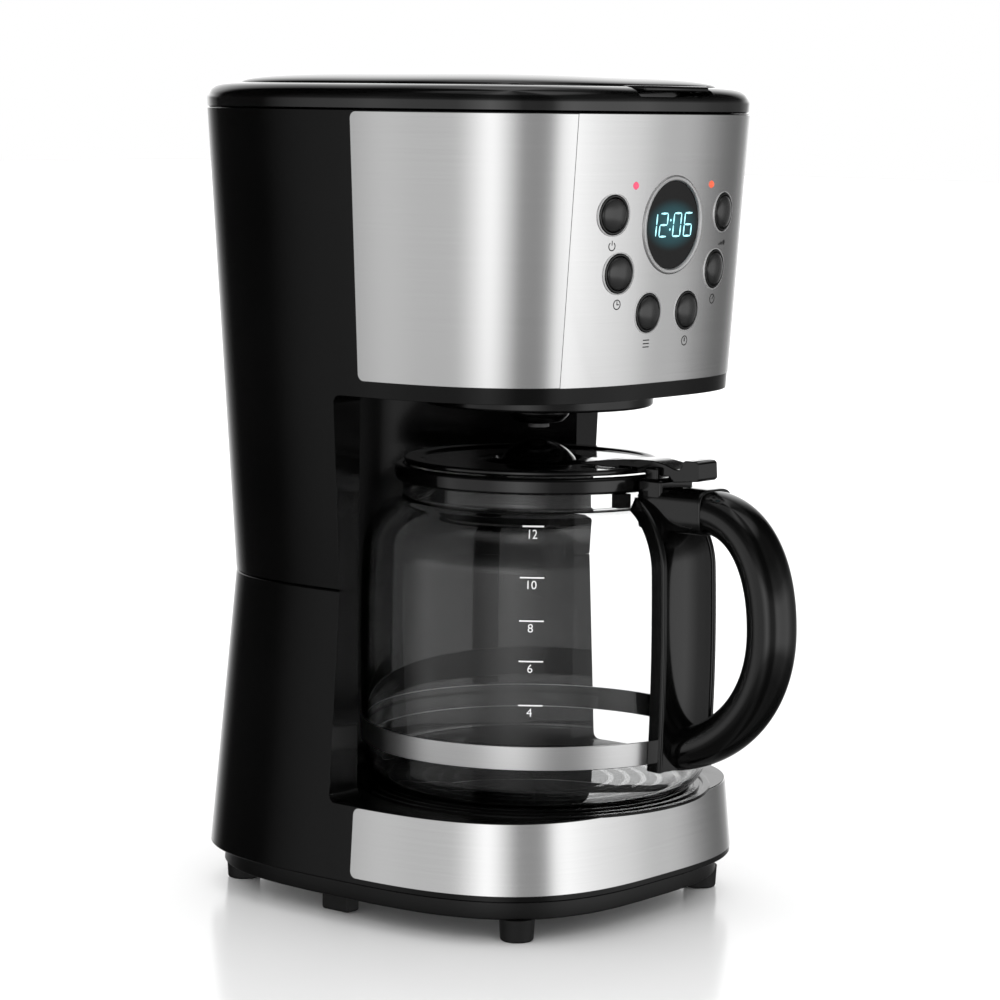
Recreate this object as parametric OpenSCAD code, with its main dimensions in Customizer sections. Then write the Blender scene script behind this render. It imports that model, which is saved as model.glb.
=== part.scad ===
// Drip coffee maker: black plastic shells with steel bands, a clock panel with six buttons, a
// hinged lid over the water tank and the brew basket, and a glass carafe on a warming plate.
// Millimetres, +Z up, the front faces -Y. The origin is on the table, under the middle of the
// whole object with its carafe in place.

/* [Body] */
// Width of the body at its top edge
body_w = 194; // [170:1:235]
// Depth of the body at its top edge
body_d = 213; // [195:1:260]
// Front face of the body at its top edge, from the origin
front_y = -76.5; // [-90:0.5:-72]
// How far each side is tucked in at the waist seam
waist_tuck = 11.5; // [6:0.5:14]
// How far the left and right sides are tucked in at the foot
foot_tuck_w = 3.5; // [0:0.5:8]
// How far the front and back are tucked in at the foot
foot_tuck_d = 0.5; // [0:0.5:8]
// Height of the waist seam
waist_z = 138.5; // [110:0.5:165]
// How square the rounded outline is: 2 is an ellipse
squareness = 3.1; // [2.6:0.1:3.6]
// Thickness of the plastic shells
wall = 2.5; // [2:0.1:3.2]
// Front edge of the column that carries the head
column_y = 31; // [20:0.5:45]

/* [Base] */
// Height of the feet
foot_h = 9.5; // [7:0.5:12]
// Height of the bottom cover's side
cover_h = 8.5; // [6:0.5:14]
// How far the bottom cover is set in from the body
cover_inset = 6; // [4:0.5:10]
// Height of the deck round the warming plate
deck_z = 50.4; // [46:0.2:62]
// Radius of the warming plate
plate_r = 62; // [50:0.5:64]
// Thickness of the warming plate
plate_t = 1.5; // [1:0.1:2.5]
// Width of the seal round the warming plate
seal_w = 2; // [1.5:0.1:3]

/* [Steel] */
// Thickness of the steel skins
steel_t = 0.8; // [0.6:0.1:1.2]
// Rear ends of the steel skins
steel_rear_y = 17; // [5:0.5:26]
// Corner radius of the steel skins
steel_corner = 3; // [1:0.5:6]
// Half width of the control fascia
fascia_half_w = 57.5; // [52:0.5:64]

/* [Head] */
// Height of the head from its underside to its top edge
head_h = 116.5; // [105:0.5:150]
// Height of the black lip under the head's steel
lip_h = 6.6; // [4:0.2:10]
// Height of the top rim
rim_h = 9.5; // [8:0.5:14]
// Width of the top rim
rim_w = 11; // [9:0.5:15]
// Height of the lid's dome over the rim
dome_h = 8.5; // [5:0.5:14]
// Radius of the lid's hinge pins
hinge_pin_r = 1.5; // [1.2:0.1:2]

/* [Control face] */
// Height of the display's centre under the head's top edge
display_drop = 45.2; // [40:0.2:55]
// Radius of the display window
display_r = 18; // [15:0.5:19]
// Radius of the arc that the buttons lie on
button_arc_r = 38; // [34:0.5:42]
// Radius of each button ring
ring_r = 8.2; // [7:0.1:8.8]
// Travel of a button
button_travel = 1.5; // [0.8:0.1:1.6]
// Radius of the arc that the lamps lie on
lamp_arc_r = 30.7; // [27:0.1:33]
// Radius of each lamp
lamp_r = 1.6; // [1.2:0.1:2.4]

/* [Brewing] */
// Outer radius of the brew chamber
chamber_r = 48.5; // [40:0.5:49.5]
// Travel of the drip valve
valve_travel = 3; // [2:0.5:4]
// Gap between the carafe lid's dome and the drip valve
drip_gap = 5; // [4:0.5:8]

/* [Carafe] */
// Radius of the carafe's glass at its belly
carafe_r = 75.1; // [60:0.1:78]
// Height of the carafe's glass
carafe_h = 137; // [110:0.5:170]
// Radius of the carafe's neck
neck_r = 57.5; // [45:0.5:60]
// Thickness of the glass
glass_t = 2.2; // [1.6:0.1:3]
// Carafe axis, from the origin
carafe_y = -5.5; // [-12:0.5:2]
// Reach of the handle's centre line from the carafe axis
handle_reach = 122; // [112:0.5:145]
// Half width of the handle's grip
grip_half_w = 11; // [8:0.5:14]
// Half thickness of the handle's grip
grip_half_t = 9; // [7:0.5:12]
// Radius of the dome on the carafe's lid
lid_dome_r = 19.5; // [15:0.5:24]

/* [Hidden] */
$fn = 96;

black = "#16171a";
soft_black = "#222327";
steel = "#c9cacc";
bright_steel = "#dcdde0";
smoke = "#0b0d10";
rubber = "#1b1b1b";

outline_points = 72;
past = 1;
sliding_gap = 0.2;
running_gap = 0.05;

// ---- heights and places that follow from the sizes above

body_y = front_y + body_d / 2;
base_z = foot_h + cover_h;
flange_t = 2.8;
flange_w = cover_inset + 3;
steel_low_z = base_z + flange_t;
plate_z = deck_z + 0.6;
lip_z = plate_z + carafe_h;
lid_z = lip_z + 0.7;
lid_t = 2.4;
dome_z = lip_z + 11;
tip_z = dome_z + drip_gap;
nozzle_z = tip_z + 2;
chamber_z = nozzle_z + 8;
head_z = chamber_z + 6.5;
top_z = head_z + head_h;
rim_z = top_z + rim_h;
recess_r = carafe_r + 7;
cover_floor_t = 2.5;

// ---- the body's outline: a rounded oblong that tapers to the waist from above and below

function blend(a, b, t) = a + (b - a) * t;
function half_size(z, upper, full, foot_tuck) = let(
    waist = full / 2 - waist_tuck,
    t = upper ? (z - waist_z) / (top_z - waist_z) : (z - base_z) / (waist_z - base_z))
    upper ? blend(waist, full / 2, t) : blend(full / 2 - foot_tuck, waist, t);
function half_w(z, upper = true) = half_size(z, upper, body_w, foot_tuck_w);
function half_d(z, upper = true) = half_size(z, upper, body_d, foot_tuck_d);
function round_to(v) = sign(v) * pow(abs(v), 2 / squareness);
function outline(a, b) = [
    for (i = [0 : outline_points - 1]) let(t = 360 * i / outline_points)
        [a * round_to(cos(t)), b * round_to(sin(t))]];
// How far the outline reaches along one axis where the other is at a share of its half size
function reach(share) = pow(1 - pow(min(abs(share), 1), squareness), 1 / squareness);
function front_at(x, z, upper = true) =
    body_y - half_d(z, upper) * reach(x / half_w(z, upper));
function rear_at(x, z, upper = true) =
    body_y + half_d(z, upper) * reach(x / half_w(z, upper));
function side_at(y, z, upper = true) =
    half_w(z, upper) * reach((y - body_y) / half_d(z, upper));

// A solid between two heights whose outline changes evenly
module loft(z0, a0, b0, z1, a1, b1)
    translate([0, body_y, z0])
        linear_extrude(height = z1 - z0, scale = [a1 / a0, b1 / b0], slices = 1)
            polygon(outline(a0, b0));

// The whole tapered form under or over the waist, set in by a distance
module lower_form(inset) let(z0 = 0, z1 = waist_z + past)
    loft(z0, half_w(z0, false) - inset, half_d(z0, false) - inset,
         z1, half_w(z1, false) - inset, half_d(z1, false) - inset);
module upper_form(inset) let(z0 = waist_z - past, z1 = rim_z + past)
    loft(z0, half_w(z0) - inset, half_d(z0) - inset, z1, half_w(z1) - inset, half_d(z1) - inset);

module between(z0, z1)
    translate([-body_w, body_y - body_d, z0]) cube([2 * body_w, 2 * body_d, z1 - z0]);
module behind(y0, z0, z1)
    translate([-body_w, y0, z0]) cube([2 * body_w, body_d, z1 - z0]);

// The space that the carafe stands in: open at the front and the sides, with a round recess
module bay(grow) {
    translate([-body_w, column_y + grow - 2 * body_d, deck_z - grow])
        cube([2 * body_w, 2 * body_d, head_z - deck_z + 2 * grow]);
    translate([0, carafe_y, deck_z - grow])
        cylinder(h = head_z - deck_z + 2 * grow, r = recess_r + grow);
}

// ---- steel skins

module rounded_rect(w, h, r) {
    translate([r, 0]) square([w - 2 * r, h]);
    translate([0, r]) square([w, h - 2 * r]);
    for (x = [r, w - r], y = [r, h - r]) translate([x, y]) circle(r);
}
// A window with round corners, seen from the side, that ends at the skins' rear edge
module skin_window(z0, z1) let(length = body_d)
    translate([-body_w, steel_rear_y - length, z0])
        rotate([90, 0, 90])
            linear_extrude(2 * body_w) rounded_rect(length, z1 - z0, steel_corner);
module base_skin(grow) intersection() {
    difference() { lower_form(-grow); lower_form(steel_t); }
    skin_window(steel_low_z, deck_z - 0.3);
}
module head_skin(grow) intersection() {
    difference() { upper_form(-grow); upper_form(steel_t); }
    skin_window(head_z + lip_h, top_z - 0.4);
}
seam = 0.15;

module base_steel_trim() color(steel) base_skin(0);
module head_wrap(side) color(steel) intersection() {
    head_skin(0);
    translate([side > 0 ? fascia_half_w + seam : -body_w, body_y - body_d, head_z])
        cube([body_w - fascia_half_w - seam, 2 * body_d, head_h]);
}
module head_wrap_left() head_wrap(-1);
module head_wrap_right() head_wrap(1);

// ---- lower shell: the base and the foot of the column

lug_ys = [carafe_y - 9, body_y + 68];
lug_in = 13.5;
lug_r = 6;
lug_h = 8;
screw_r = 1.85;
function lug_x(y) = side_at(y, base_z, false) - lug_in;
module at_lugs() for (y = lug_ys, side = [-1, 1]) translate([side * lug_x(y), y, 0]) children();

gland_x = -20;
gland_z = base_z + 14;
gland_r = 6;
gland_out = 5;
gland_gap = 1.4;
gland_y = rear_at(gland_x, gland_z, false);

// A ledge round the inside of the column, which the water tank stands on
tank_ledge_w = 8;
tank_ledge_t = 2.2;
module tank_ledge() difference() {
    between(tank_low_z - tank_ledge_t, tank_low_z);
    lower_form(wall + tank_ledge_w);
}
module lower_shell() color(black) difference() {
    union() {
        difference() {
            intersection() { lower_form(0); between(base_z, waist_z); }
            bay(0);
            difference() {
                intersection() { lower_form(wall); between(steel_low_z, waist_z + past); }
                bay(wall);
                tank_ledge();
            }
            intersection() { lower_form(flange_w); between(base_z - past, steel_low_z + past); }
        }
        at_lugs() translate([0, 0, base_z]) cylinder(h = lug_h, r = lug_r);
    }
    base_skin(past);
    translate([0, carafe_y, deck_z - wall - past])
        cylinder(h = wall + 2 * past, r = plate_r + seal_w);
    at_lugs() translate([0, 0, base_z - past]) cylinder(h = lug_h, r = screw_r + running_gap);
    translate([gland_x, gland_y + past, gland_z])
        rotate([90, 0, 0]) cylinder(h = 4 * wall, r = gland_r);
}

// ---- bottom cover, feet and screws

front_foot = [64, carafe_y - 43];
front_foot_r = 7.5;
side_foot = [74, carafe_y + 45];
side_foot_size = [8, 15];
rear_foot = [57, body_y + 82];
rear_foot_r = 7.5;
spigot_r = 3;
spigot_h = 2;
board_size = [70, 50];
board_y = body_y + 38;
board_post_h = 4;
module at_both(place) for (side = [-1, 1]) translate([side * place.x, place.y, 0]) children();
module at_board_corners() for (x = [-1, 1], y = [-1, 1])
    translate([x * (board_size.x / 2 - 5), board_y + y * (board_size.y / 2 - 5), 0]) children();

module base_cover() color(soft_black) difference() {
    union() {
        difference() {
            intersection() { lower_form(cover_inset); between(foot_h, base_z); }
            intersection() {
                lower_form(cover_inset + wall);
                between(foot_h + cover_floor_t, base_z + past);
            }
        }
        at_lugs() translate([0, 0, foot_h]) cylinder(h = cover_h, r = lug_r);
        at_board_corners() translate([0, 0, foot_h])
            cylinder(h = cover_floor_t + board_post_h, r = 3);
    }
    at_lugs() translate([0, 0, foot_h - past]) cylinder(h = cover_h + 2 * past, r = screw_r + 0.35);
    at_lugs() translate([0, 0, foot_h - past]) cylinder(h = past + 3, r = 3.9);
    for (place = [front_foot, side_foot, rear_foot]) at_both(place)
        translate([0, 0, foot_h - past]) cylinder(h = cover_floor_t + 2 * past, r = spigot_r + 0.1);
}
module foot(place, r) at_both(place) {
    cylinder(h = foot_h, r1 = r - 0.8, r2 = r);
    cylinder(h = foot_h + spigot_h, r = spigot_r);
}
module front_feet() color(rubber) foot(front_foot, front_foot_r);
module rear_feet() color(rubber) foot(rear_foot, rear_foot_r);
module side_feet() color(rubber) at_both(side_foot) {
    translate([-side_foot_size.x / 2, -side_foot_size.y / 2, 0])
        linear_extrude(foot_h) rounded_rect(side_foot_size.x, side_foot_size.y, 2);
    cylinder(h = foot_h + spigot_h, r = spigot_r);
}
module base_screws() color(bright_steel) at_lugs() {
    translate([0, 0, foot_h + 0.8]) cylinder(h = 2.2, r = 3.5);
    translate([0, 0, foot_h + 0.8]) cylinder(h = cover_h + lug_h - 4, r = screw_r);
}

// ---- upper shell: the column and the head

function face_turn(x, z) = let(a = half_w(z), b = half_d(z), s = abs(x) / a)
    atan2(sign(x) * pow(s, squareness - 1) / a, pow(reach(s), squareness - 1) / b);
face_tilt = atan(waist_tuck / (top_z - waist_z));
display_z = top_z - display_drop;
// Puts children on the control face, with -Y pointing straight out of it
module on_face(x, z)
    translate([x, front_at(x, z), z]) rotate([0, 0, face_turn(x, z)]) rotate([face_tilt, 0, 0])
        children();
// A round piece along the face's normal, from a depth inside it to a height outside it
module face_round(low, high, r)
    rotate([90, 0, 0]) translate([0, 0, low]) cylinder(h = high - low, r = r);
function button_place(angle) =
    [button_arc_r * cos(angle), display_z + button_arc_r * sin(angle)];
button_angles = [173, 210, 249.5, 290.5, 330, 7];
lamp_angles = [148, 32];
module at_buttons() for (angle = button_angles) let(p = button_place(angle))
    on_face(p.x, p.y) children();
module at_lamps() for (angle = lamp_angles)
    on_face(lamp_arc_r * cos(angle), display_z + lamp_arc_r * sin(angle)) children();

window_half_w = button_arc_r + ring_r + 2;
window_low_z = display_z - button_arc_r - ring_r - 1.5;
window_high_z = display_z + display_r + 4;

// Rails beside the window, which carry the control board on their flanges
rail_t = 2;
rail_flange_w = 6;
module board_rails() both_sides() intersection() {
    upper_form(steel_t + 0.4);
    union() {
        translate([window_half_w, front_y, window_low_z])
            cube([rail_t, panel_y + board_t + rail_t - front_y, window_high_z - window_low_z]);
        translate([window_half_w + rail_t - rail_flange_w, panel_y + board_t, window_low_z])
            cube([rail_flange_w, rail_t, window_high_z - window_low_z]);
    }
}
module upper_shell() color(black) {
    upper_case();
    board_rails();
}
module upper_case() difference() {
    intersection() { upper_form(0); between(waist_z, top_z); }
    bay(0);
    difference() {
        intersection() { upper_form(wall); between(waist_z - past, top_z + past); }
        bay(wall);
    }
    head_skin(past);
    translate([0, carafe_y, head_z - past]) cylinder(h = wall + 2 * past, r = chamber_r + 0.1);
    translate([-window_half_w, front_y - past, window_low_z])
        cube([2 * window_half_w, 4 * wall + waist_tuck, window_high_z - window_low_z]);
}

// ---- control face

cap_r = ring_r - 1.5;
ring_depth = 4;
stem_end = ring_depth + 1.9 + button_travel;
board_t = 1.6;
switch_h = 2.4;
switch_gap = 0.5;
panel_y = front_at(button_arc_r, window_low_z) + stem_end + button_travel + switch_gap + switch_h;
bezel_r = display_r + 1.6;
module control_fascia() color(steel) difference() {
    intersection() {
        head_skin(0);
        translate([-fascia_half_w, body_y - body_d, head_z])
            cube([2 * fascia_half_w, body_d, head_h]);
    }
    at_buttons() face_round(-5, 5, ring_r);
    at_lamps() face_round(-5, 5, lamp_r);
    on_face(0, display_z) face_round(-5, 5, bezel_r);
}
module button_rings() color(black) at_buttons() difference() {
    face_round(-ring_depth, 0.7, ring_r);
    face_round(-ring_depth - past, 0.7 + past, cap_r + sliding_gap);
}
// A button: a domed cap, a flange that stops it behind its ring, and a stem
dome_rise = 1.2;
cap_rise = 1;
module cap_dome() let(sphere_r = (cap_r * cap_r + dome_rise * dome_rise) / (2 * dome_rise))
    intersection() {
        translate([0, sphere_r - cap_rise - dome_rise, 0]) rotate([90, 0, 0]) sphere(r = sphere_r);
        face_round(0, cap_rise + dome_rise + past, cap_r);
    }
module button(index) color(soft_black) let(p = button_place(button_angles[index]))
    on_face(p.x, p.y) {
        face_round(-ring_depth - 1, cap_rise, cap_r);
        cap_dome();
        face_round(-ring_depth - 1.1, -ring_depth - 0.1, ring_r - 0.6);
        face_round(-stem_end, -ring_depth - 1, 2);
    }
module button_power() button(0);
module button_delay() button(1);
module button_program() button(2);
module button_hour() button(3);
module button_minute() button(4);
module button_strength() button(5);

module display_bezel() color(bright_steel) on_face(0, display_z) difference() {
    face_round(-3, 0.6, bezel_r);
    face_round(-3 - past, 0.6 + past, display_r + 0.05);
}
module display_lens() color(smoke) on_face(0, display_z) face_round(-1.8, -0.1, display_r);
module display_module() color(smoke) on_face(0, display_z)
    translate([-15, 1.9, -8]) cube([30, panel_y - front_at(0, display_z) - 2.5, 16]);
module status_lamps() color("#e0405a") at_lamps() {
    face_round(-5, 0.2, lamp_r - 0.05);
    difference() {
        rotate([90, 0, 0]) translate([0, 0, 0.2]) sphere(r = lamp_r - 0.05);
        face_round(-lamp_r - past, 0.2, lamp_r);
    }
}
module control_board() color("#1f4a2c")
    translate([-window_half_w + 0.5, panel_y, window_low_z])
        cube([2 * window_half_w - 1, board_t, window_high_z - window_low_z - 1]);
module board_switches() color("#303236") for (angle = button_angles) let(p = button_place(angle))
    translate([p.x - 3, panel_y - switch_h, p.y - 3]) cube([6, switch_h, 6]);

// ---- warming plate and heater

plate_rim_h = 5;
groove_rs = [for (i = [1 : 4]) plate_r - 7 * i];
module on_carafe_axis(z = 0) translate([0, carafe_y, z]) children();
module warming_plate() color("#2a2b2d") on_carafe_axis() difference() {
    translate([0, 0, plate_z - plate_rim_h]) cylinder(h = plate_rim_h, r = plate_r);
    translate([0, 0, plate_z - plate_rim_h - past])
        cylinder(h = plate_rim_h - plate_t + past, r = plate_r - 1.5);
    for (r = groove_rs) translate([0, 0, plate_z - 0.4]) difference() {
        cylinder(h = past, r = r);
        translate([0, 0, -past]) cylinder(h = 3 * past, r = r - 1.5);
    }
}
module plate_seal() color(rubber) on_carafe_axis(deck_z - 4) difference() {
    cylinder(h = 4.3, r = plate_r + seal_w);
    translate([0, 0, -past]) cylinder(h = 5 + 2 * past, r = plate_r);
}
heater_r = 5;
heater_bend_r = plate_r - 18;
heater_z = plate_z - plate_t - heater_r + 0.2;
heater_gap = 32;
heater_end = [heater_bend_r * sin(heater_gap), carafe_y + heater_bend_r * cos(heater_gap)];
// The heater's ends dip under the plate's rim and the deck before they meet the hoses
pipe_z = plate_z - plate_rim_h - heater_r - 0.5;
dip_y = heater_end.y + 10;
pipe_y = dip_y + 6;
module tube_between(a, b, r) let(d = b - a, length = norm(d))
    translate(a) rotate([0, acos(d.z / length), atan2(d.y, d.x)]) cylinder(h = length, r = r);
module heater_tube() color("#b9bcc0") {
    on_carafe_axis(heater_z) rotate([0, 0, 90 + heater_gap])
        rotate_extrude(angle = 360 - 2 * heater_gap) translate([heater_bend_r, 0]) circle(heater_r);
    for (side = [-1, 1]) let(x = side * heater_end.x) {
        translate([x, heater_end.y, heater_z]) sphere(heater_r + 0.2);
        tube_between([x, heater_end.y, heater_z], [x, dip_y, pipe_z], heater_r);
        translate([x, dip_y, pipe_z]) sphere(heater_r + 0.2);
        tube_between([x, dip_y, pipe_z], [x, pipe_y, pipe_z], heater_r);
    }
}
module thermostat() color("#8d8f92") on_carafe_axis(plate_z - plate_t - 9) {
    cylinder(h = 9, r = 8);
    translate([-10, -2, 1]) cube([20, 4, 1]);
}
module thermal_fuse() color("#e6e0d0") on_carafe_axis(plate_z - plate_t - 6)
    translate([-12, 20, 3]) rotate([0, 90, 0]) cylinder(h = 24, r = 3);

// ---- water path

hose_r = 5;
tank_gap = 1.5;
tank_front_y = carafe_y + recess_r + wall + tank_gap;
tank_low_z = deck_z + 8;
tank_high_z = top_z - 6;
tank_wall = 2;
tank_inset = wall + tank_gap;
outlet_y = tank_front_y + 14;
// The riser stands in the corner behind the recess wall
riser_reach = recess_r + wall + hose_r + 2.5;
riser_angle = 51;
riser_place = [riser_reach * cos(riser_angle), carafe_y + riser_reach * sin(riser_angle)];
spout_z = top_z - 11;
spray_r = 22;
spout_end_y = carafe_y + spray_r + 1;

module water_tank() color("#3a3d42") difference() {
    union() {
        intersection() { lower_form(tank_inset); behind(tank_front_y, tank_low_z, waist_z); }
        intersection() { upper_form(tank_inset); behind(tank_front_y, waist_z, tank_high_z); }
        translate([-heater_end.x, outlet_y, tank_low_z - 5]) cylinder(h = 6, r = hose_r);
    }
    intersection() {
        lower_form(tank_inset + tank_wall);
        behind(tank_front_y + tank_wall, tank_low_z + tank_wall, waist_z + 0.01);
    }
    intersection() {
        upper_form(tank_inset + tank_wall);
        behind(tank_front_y + tank_wall, waist_z, tank_high_z + past);
    }
    translate([-heater_end.x, outlet_y, tank_low_z - 6]) cylinder(h = 10, r = hose_r - 2);
}
// The check valve is wider than the hose, so it sits clear behind the plate's seal
valve_body_y = carafe_y + plate_r + seal_w + 0.5;
module check_valve() color("#d8d8d2")
    translate([-heater_end.x, valve_body_y, pipe_z]) rotate([-90, 0, 0]) difference() {
        cylinder(h = 14, r = hose_r + 2);
        translate([0, 0, -past]) cylinder(h = 14 + 2 * past, r = hose_r);
    }
module inlet_hose() color("#cfcfc8") let(x = -heater_end.x) {
    tube_between([x, pipe_y, pipe_z], [x, outlet_y, pipe_z], hose_r);
    translate([x, outlet_y, pipe_z]) sphere(hose_r);
    tube_between([x, outlet_y, pipe_z], [x, outlet_y, tank_low_z - 5], hose_r);
}
riser_low_z = pipe_z + 8;
module outlet_hose() color("#cfcfc8") let(
    start = [heater_end.x, pipe_y, pipe_z],
    corner = [heater_end.x, riser_place.y, pipe_z],
    foot = [riser_place.x, riser_place.y, pipe_z]) {
    tube_between(start, corner, hose_r);
    translate(corner) sphere(hose_r);
    tube_between(corner, foot, hose_r);
    translate(foot) sphere(hose_r);
    tube_between(foot, [foot.x, foot.y, riser_low_z], hose_r);
}
module riser_tube() color("#cfcfc8") let(
    foot = [riser_place.x, riser_place.y, riser_low_z],
    bend = [riser_place.x, riser_place.y, spout_z],
    corner = [0, riser_place.y, spout_z]) {
    tube_between(foot, bend, hose_r);
    translate(bend) sphere(hose_r);
    tube_between(bend, corner, hose_r);
    translate(corner) sphere(hose_r);
    tube_between(corner, [0, spout_end_y, spout_z], hose_r);
}
module power_board() color("#1f4a2c")
    translate([0, board_y, foot_h + cover_floor_t + board_post_h]) {
    translate([-board_size.x / 2, -board_size.y / 2, 0]) cube([board_size.x, board_size.y, 1.6]);
    translate([6, -14, 1]) cube([24, 20, 9]);
    translate([-16, 8, 1]) cylinder(h = 9, r = 5);
}
module cord_gland() color(rubber) translate([gland_x, gland_y, gland_z]) rotate([90, 0, 0])
    difference() {
        union() {
            translate([0, 0, -gland_out]) cylinder(h = gland_out + 2.5 * wall, r = gland_r);
            translate([0, 0, -gland_out]) cylinder(h = gland_out - gland_gap, r = gland_r + 2);
        }
        translate([0, 0, -gland_out - past])
            cylinder(h = gland_out + 4 * wall, r = gland_r - 2.6);
    }

// ---- brew chamber, basket, filter and drip valve

chamber_t = 2;
ledge_w = 7;
ledge_t = 2.5;
chamber_top_z = top_z - 30;
basket_r = chamber_r - chamber_t - 0.7;
basket_t = 1.6;
basket_low_z = chamber_z + ledge_t;
basket_top_z = chamber_top_z - 1;
funnel_r = chamber_r - chamber_t - ledge_w - 1;
nozzle_r = 13;
outlet_r = 5;
valve_stem_r = 2;
valve_tip_t = 1.4;
seat_r = valve_stem_r + 0.6;
seat_t = 1.6;
seat_z = nozzle_z + valve_travel + 2.2;
seat_top_z = seat_z + seat_t;
module brew_chamber() color(soft_black) on_carafe_axis() {
    difference() {
        union() {
            translate([0, 0, chamber_z]) cylinder(h = chamber_top_z - chamber_z, r = chamber_r);
            translate([0, 0, head_z + wall]) cylinder(h = 2, r = chamber_r + 3);
        }
        translate([0, 0, chamber_z + ledge_t])
            cylinder(h = chamber_top_z - chamber_z, r = chamber_r - chamber_t);
        translate([0, 0, chamber_z - past])
            cylinder(h = 4 * ledge_t, r = chamber_r - chamber_t - ledge_w);
    }
}
module filter_basket() color(soft_black) on_carafe_axis() {
    rotate_extrude() polygon([
        [outlet_r, nozzle_z], [nozzle_r * 0.75, nozzle_z], [nozzle_r, nozzle_z + 3.5],
        [nozzle_r, nozzle_z + 5], [funnel_r, basket_low_z], [basket_r, basket_low_z],
        [basket_r, basket_top_z], [basket_r - basket_t, basket_top_z],
        [basket_r - basket_t, basket_low_z + basket_t], [funnel_r, basket_low_z + basket_t],
        [outlet_r + 6, seat_top_z], [seat_r, seat_top_z], [seat_r, seat_z], [outlet_r, seat_z]]);
}
// The permanent filter: a cone that hangs in the basket by its lip
filter_t = 0.6;
filter_low_z = basket_low_z + 6;
filter_bottom_r = chamber_r / 2;
filter_top_r = basket_r - basket_t - 1.2;
filter_lip_t = 1.2;
module mesh_filter() color("#b58b45") on_carafe_axis() rotate_extrude() polygon([
    [0, filter_low_z], [filter_bottom_r, filter_low_z], [filter_top_r, basket_top_z],
    [basket_r, basket_top_z], [basket_r, basket_top_z + filter_lip_t],
    [filter_top_r - filter_t, basket_top_z + filter_lip_t],
    [filter_bottom_r - filter_t, filter_low_z + filter_t], [0, filter_low_z + filter_t]]);
// The drip valve: its head rests on the basket's seat until the carafe's lid lifts its tip
valve_head_t = 2;
module drip_valve() color("#303236") on_carafe_axis() {
    translate([0, 0, tip_z]) cylinder(h = valve_tip_t, r = outlet_r - 0.6);
    translate([0, 0, tip_z])
        cylinder(h = seat_top_z + running_gap + valve_head_t - tip_z, r = valve_stem_r);
    translate([0, 0, seat_top_z + running_gap]) cylinder(h = valve_head_t, r = seat_r + 1);
}
spring_low_z = tip_z + valve_tip_t + running_gap;
spring_high_z = seat_z - running_gap;
spring_wire = 0.8;
module valve_spring() color(bright_steel) on_carafe_axis() let(turns = 3,
    pitch = (spring_high_z - spring_low_z - spring_wire) / (turns - 1))
    for (i = [0 : turns - 1]) translate([0, 0, spring_low_z + spring_wire / 2 + i * pitch])
        rotate_extrude() translate([valve_stem_r + 0.9, 0]) circle(spring_wire / 2);

// ---- top rim and lid

lid_gap = 0.5;
ledge_z = top_z + 2.5;
ledge_h = 2;
hinge_y = rear_at(0, top_z) - rim_w - 1.3;
hinge_z = rim_z - 2;
knuckle_r = 3.2;
hinge_x = 30;
knuckle_len = 16;
ear_len = 4;
end_gap = 0.3;
ear_gap = 1.6;
ear_xs = [hinge_x - knuckle_len / 2 - end_gap - ear_len, hinge_x + knuckle_len / 2 + end_gap];
notch_half_w = 26;
module hinge_round(x0, x1, r)
    translate([x0, hinge_y, hinge_z]) rotate([0, 90, 0]) cylinder(h = x1 - x0, r = r);
module both_sides() { children(); mirror([1, 0, 0]) children(); }
hinge_pocket_half_w = 72;
pocket_z = hinge_z - knuckle_r - 0.4;
module lid_opening(z0) {
    intersection() { upper_form(rim_w); between(z0, rim_z + past); }
    translate([-hinge_pocket_half_w, body_y, pocket_z])
        cube([2 * hinge_pocket_half_w, hinge_y + knuckle_r + 0.4 - body_y, rim_z + past - pocket_z]);
}
module top_rim() color(black) difference() {
    union() {
        difference() {
            intersection() { upper_form(0); between(top_z, rim_z); }
            lid_opening(ledge_z + ledge_h);
            intersection() { upper_form(rim_w + 3); between(top_z - past, rim_z); }
            intersection() { upper_form(wall); between(top_z - past, ledge_z); }
        }
        both_sides() for (x = ear_xs) {
            hinge_round(x, x + ear_len, knuckle_r);
            translate([x, hinge_y - knuckle_r, ledge_z])
                cube([ear_len, 2 * knuckle_r, hinge_z - ledge_z]);
        }
    }
    both_sides() hinge_round(hinge_x - knuckle_len, hinge_x + knuckle_len, hinge_pin_r);
    translate([-notch_half_w, front_y - rim_w, rim_z - 4])
        cube([2 * notch_half_w, 2 * rim_w + 4, 4 + past]);
}
module lid_hinge_pins() color(bright_steel) both_sides()
    hinge_round(ear_xs[0], ear_xs[1] + ear_len, hinge_pin_r);
lid_low_z = ledge_z + ledge_h + 0.2;
lid_edge_z = rim_z - 0.5;
lid_skin = 2.2;
tab_half_w = 22;
function lid_half(full, inset) = full / 2 - rim_w - lid_gap - inset;
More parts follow.
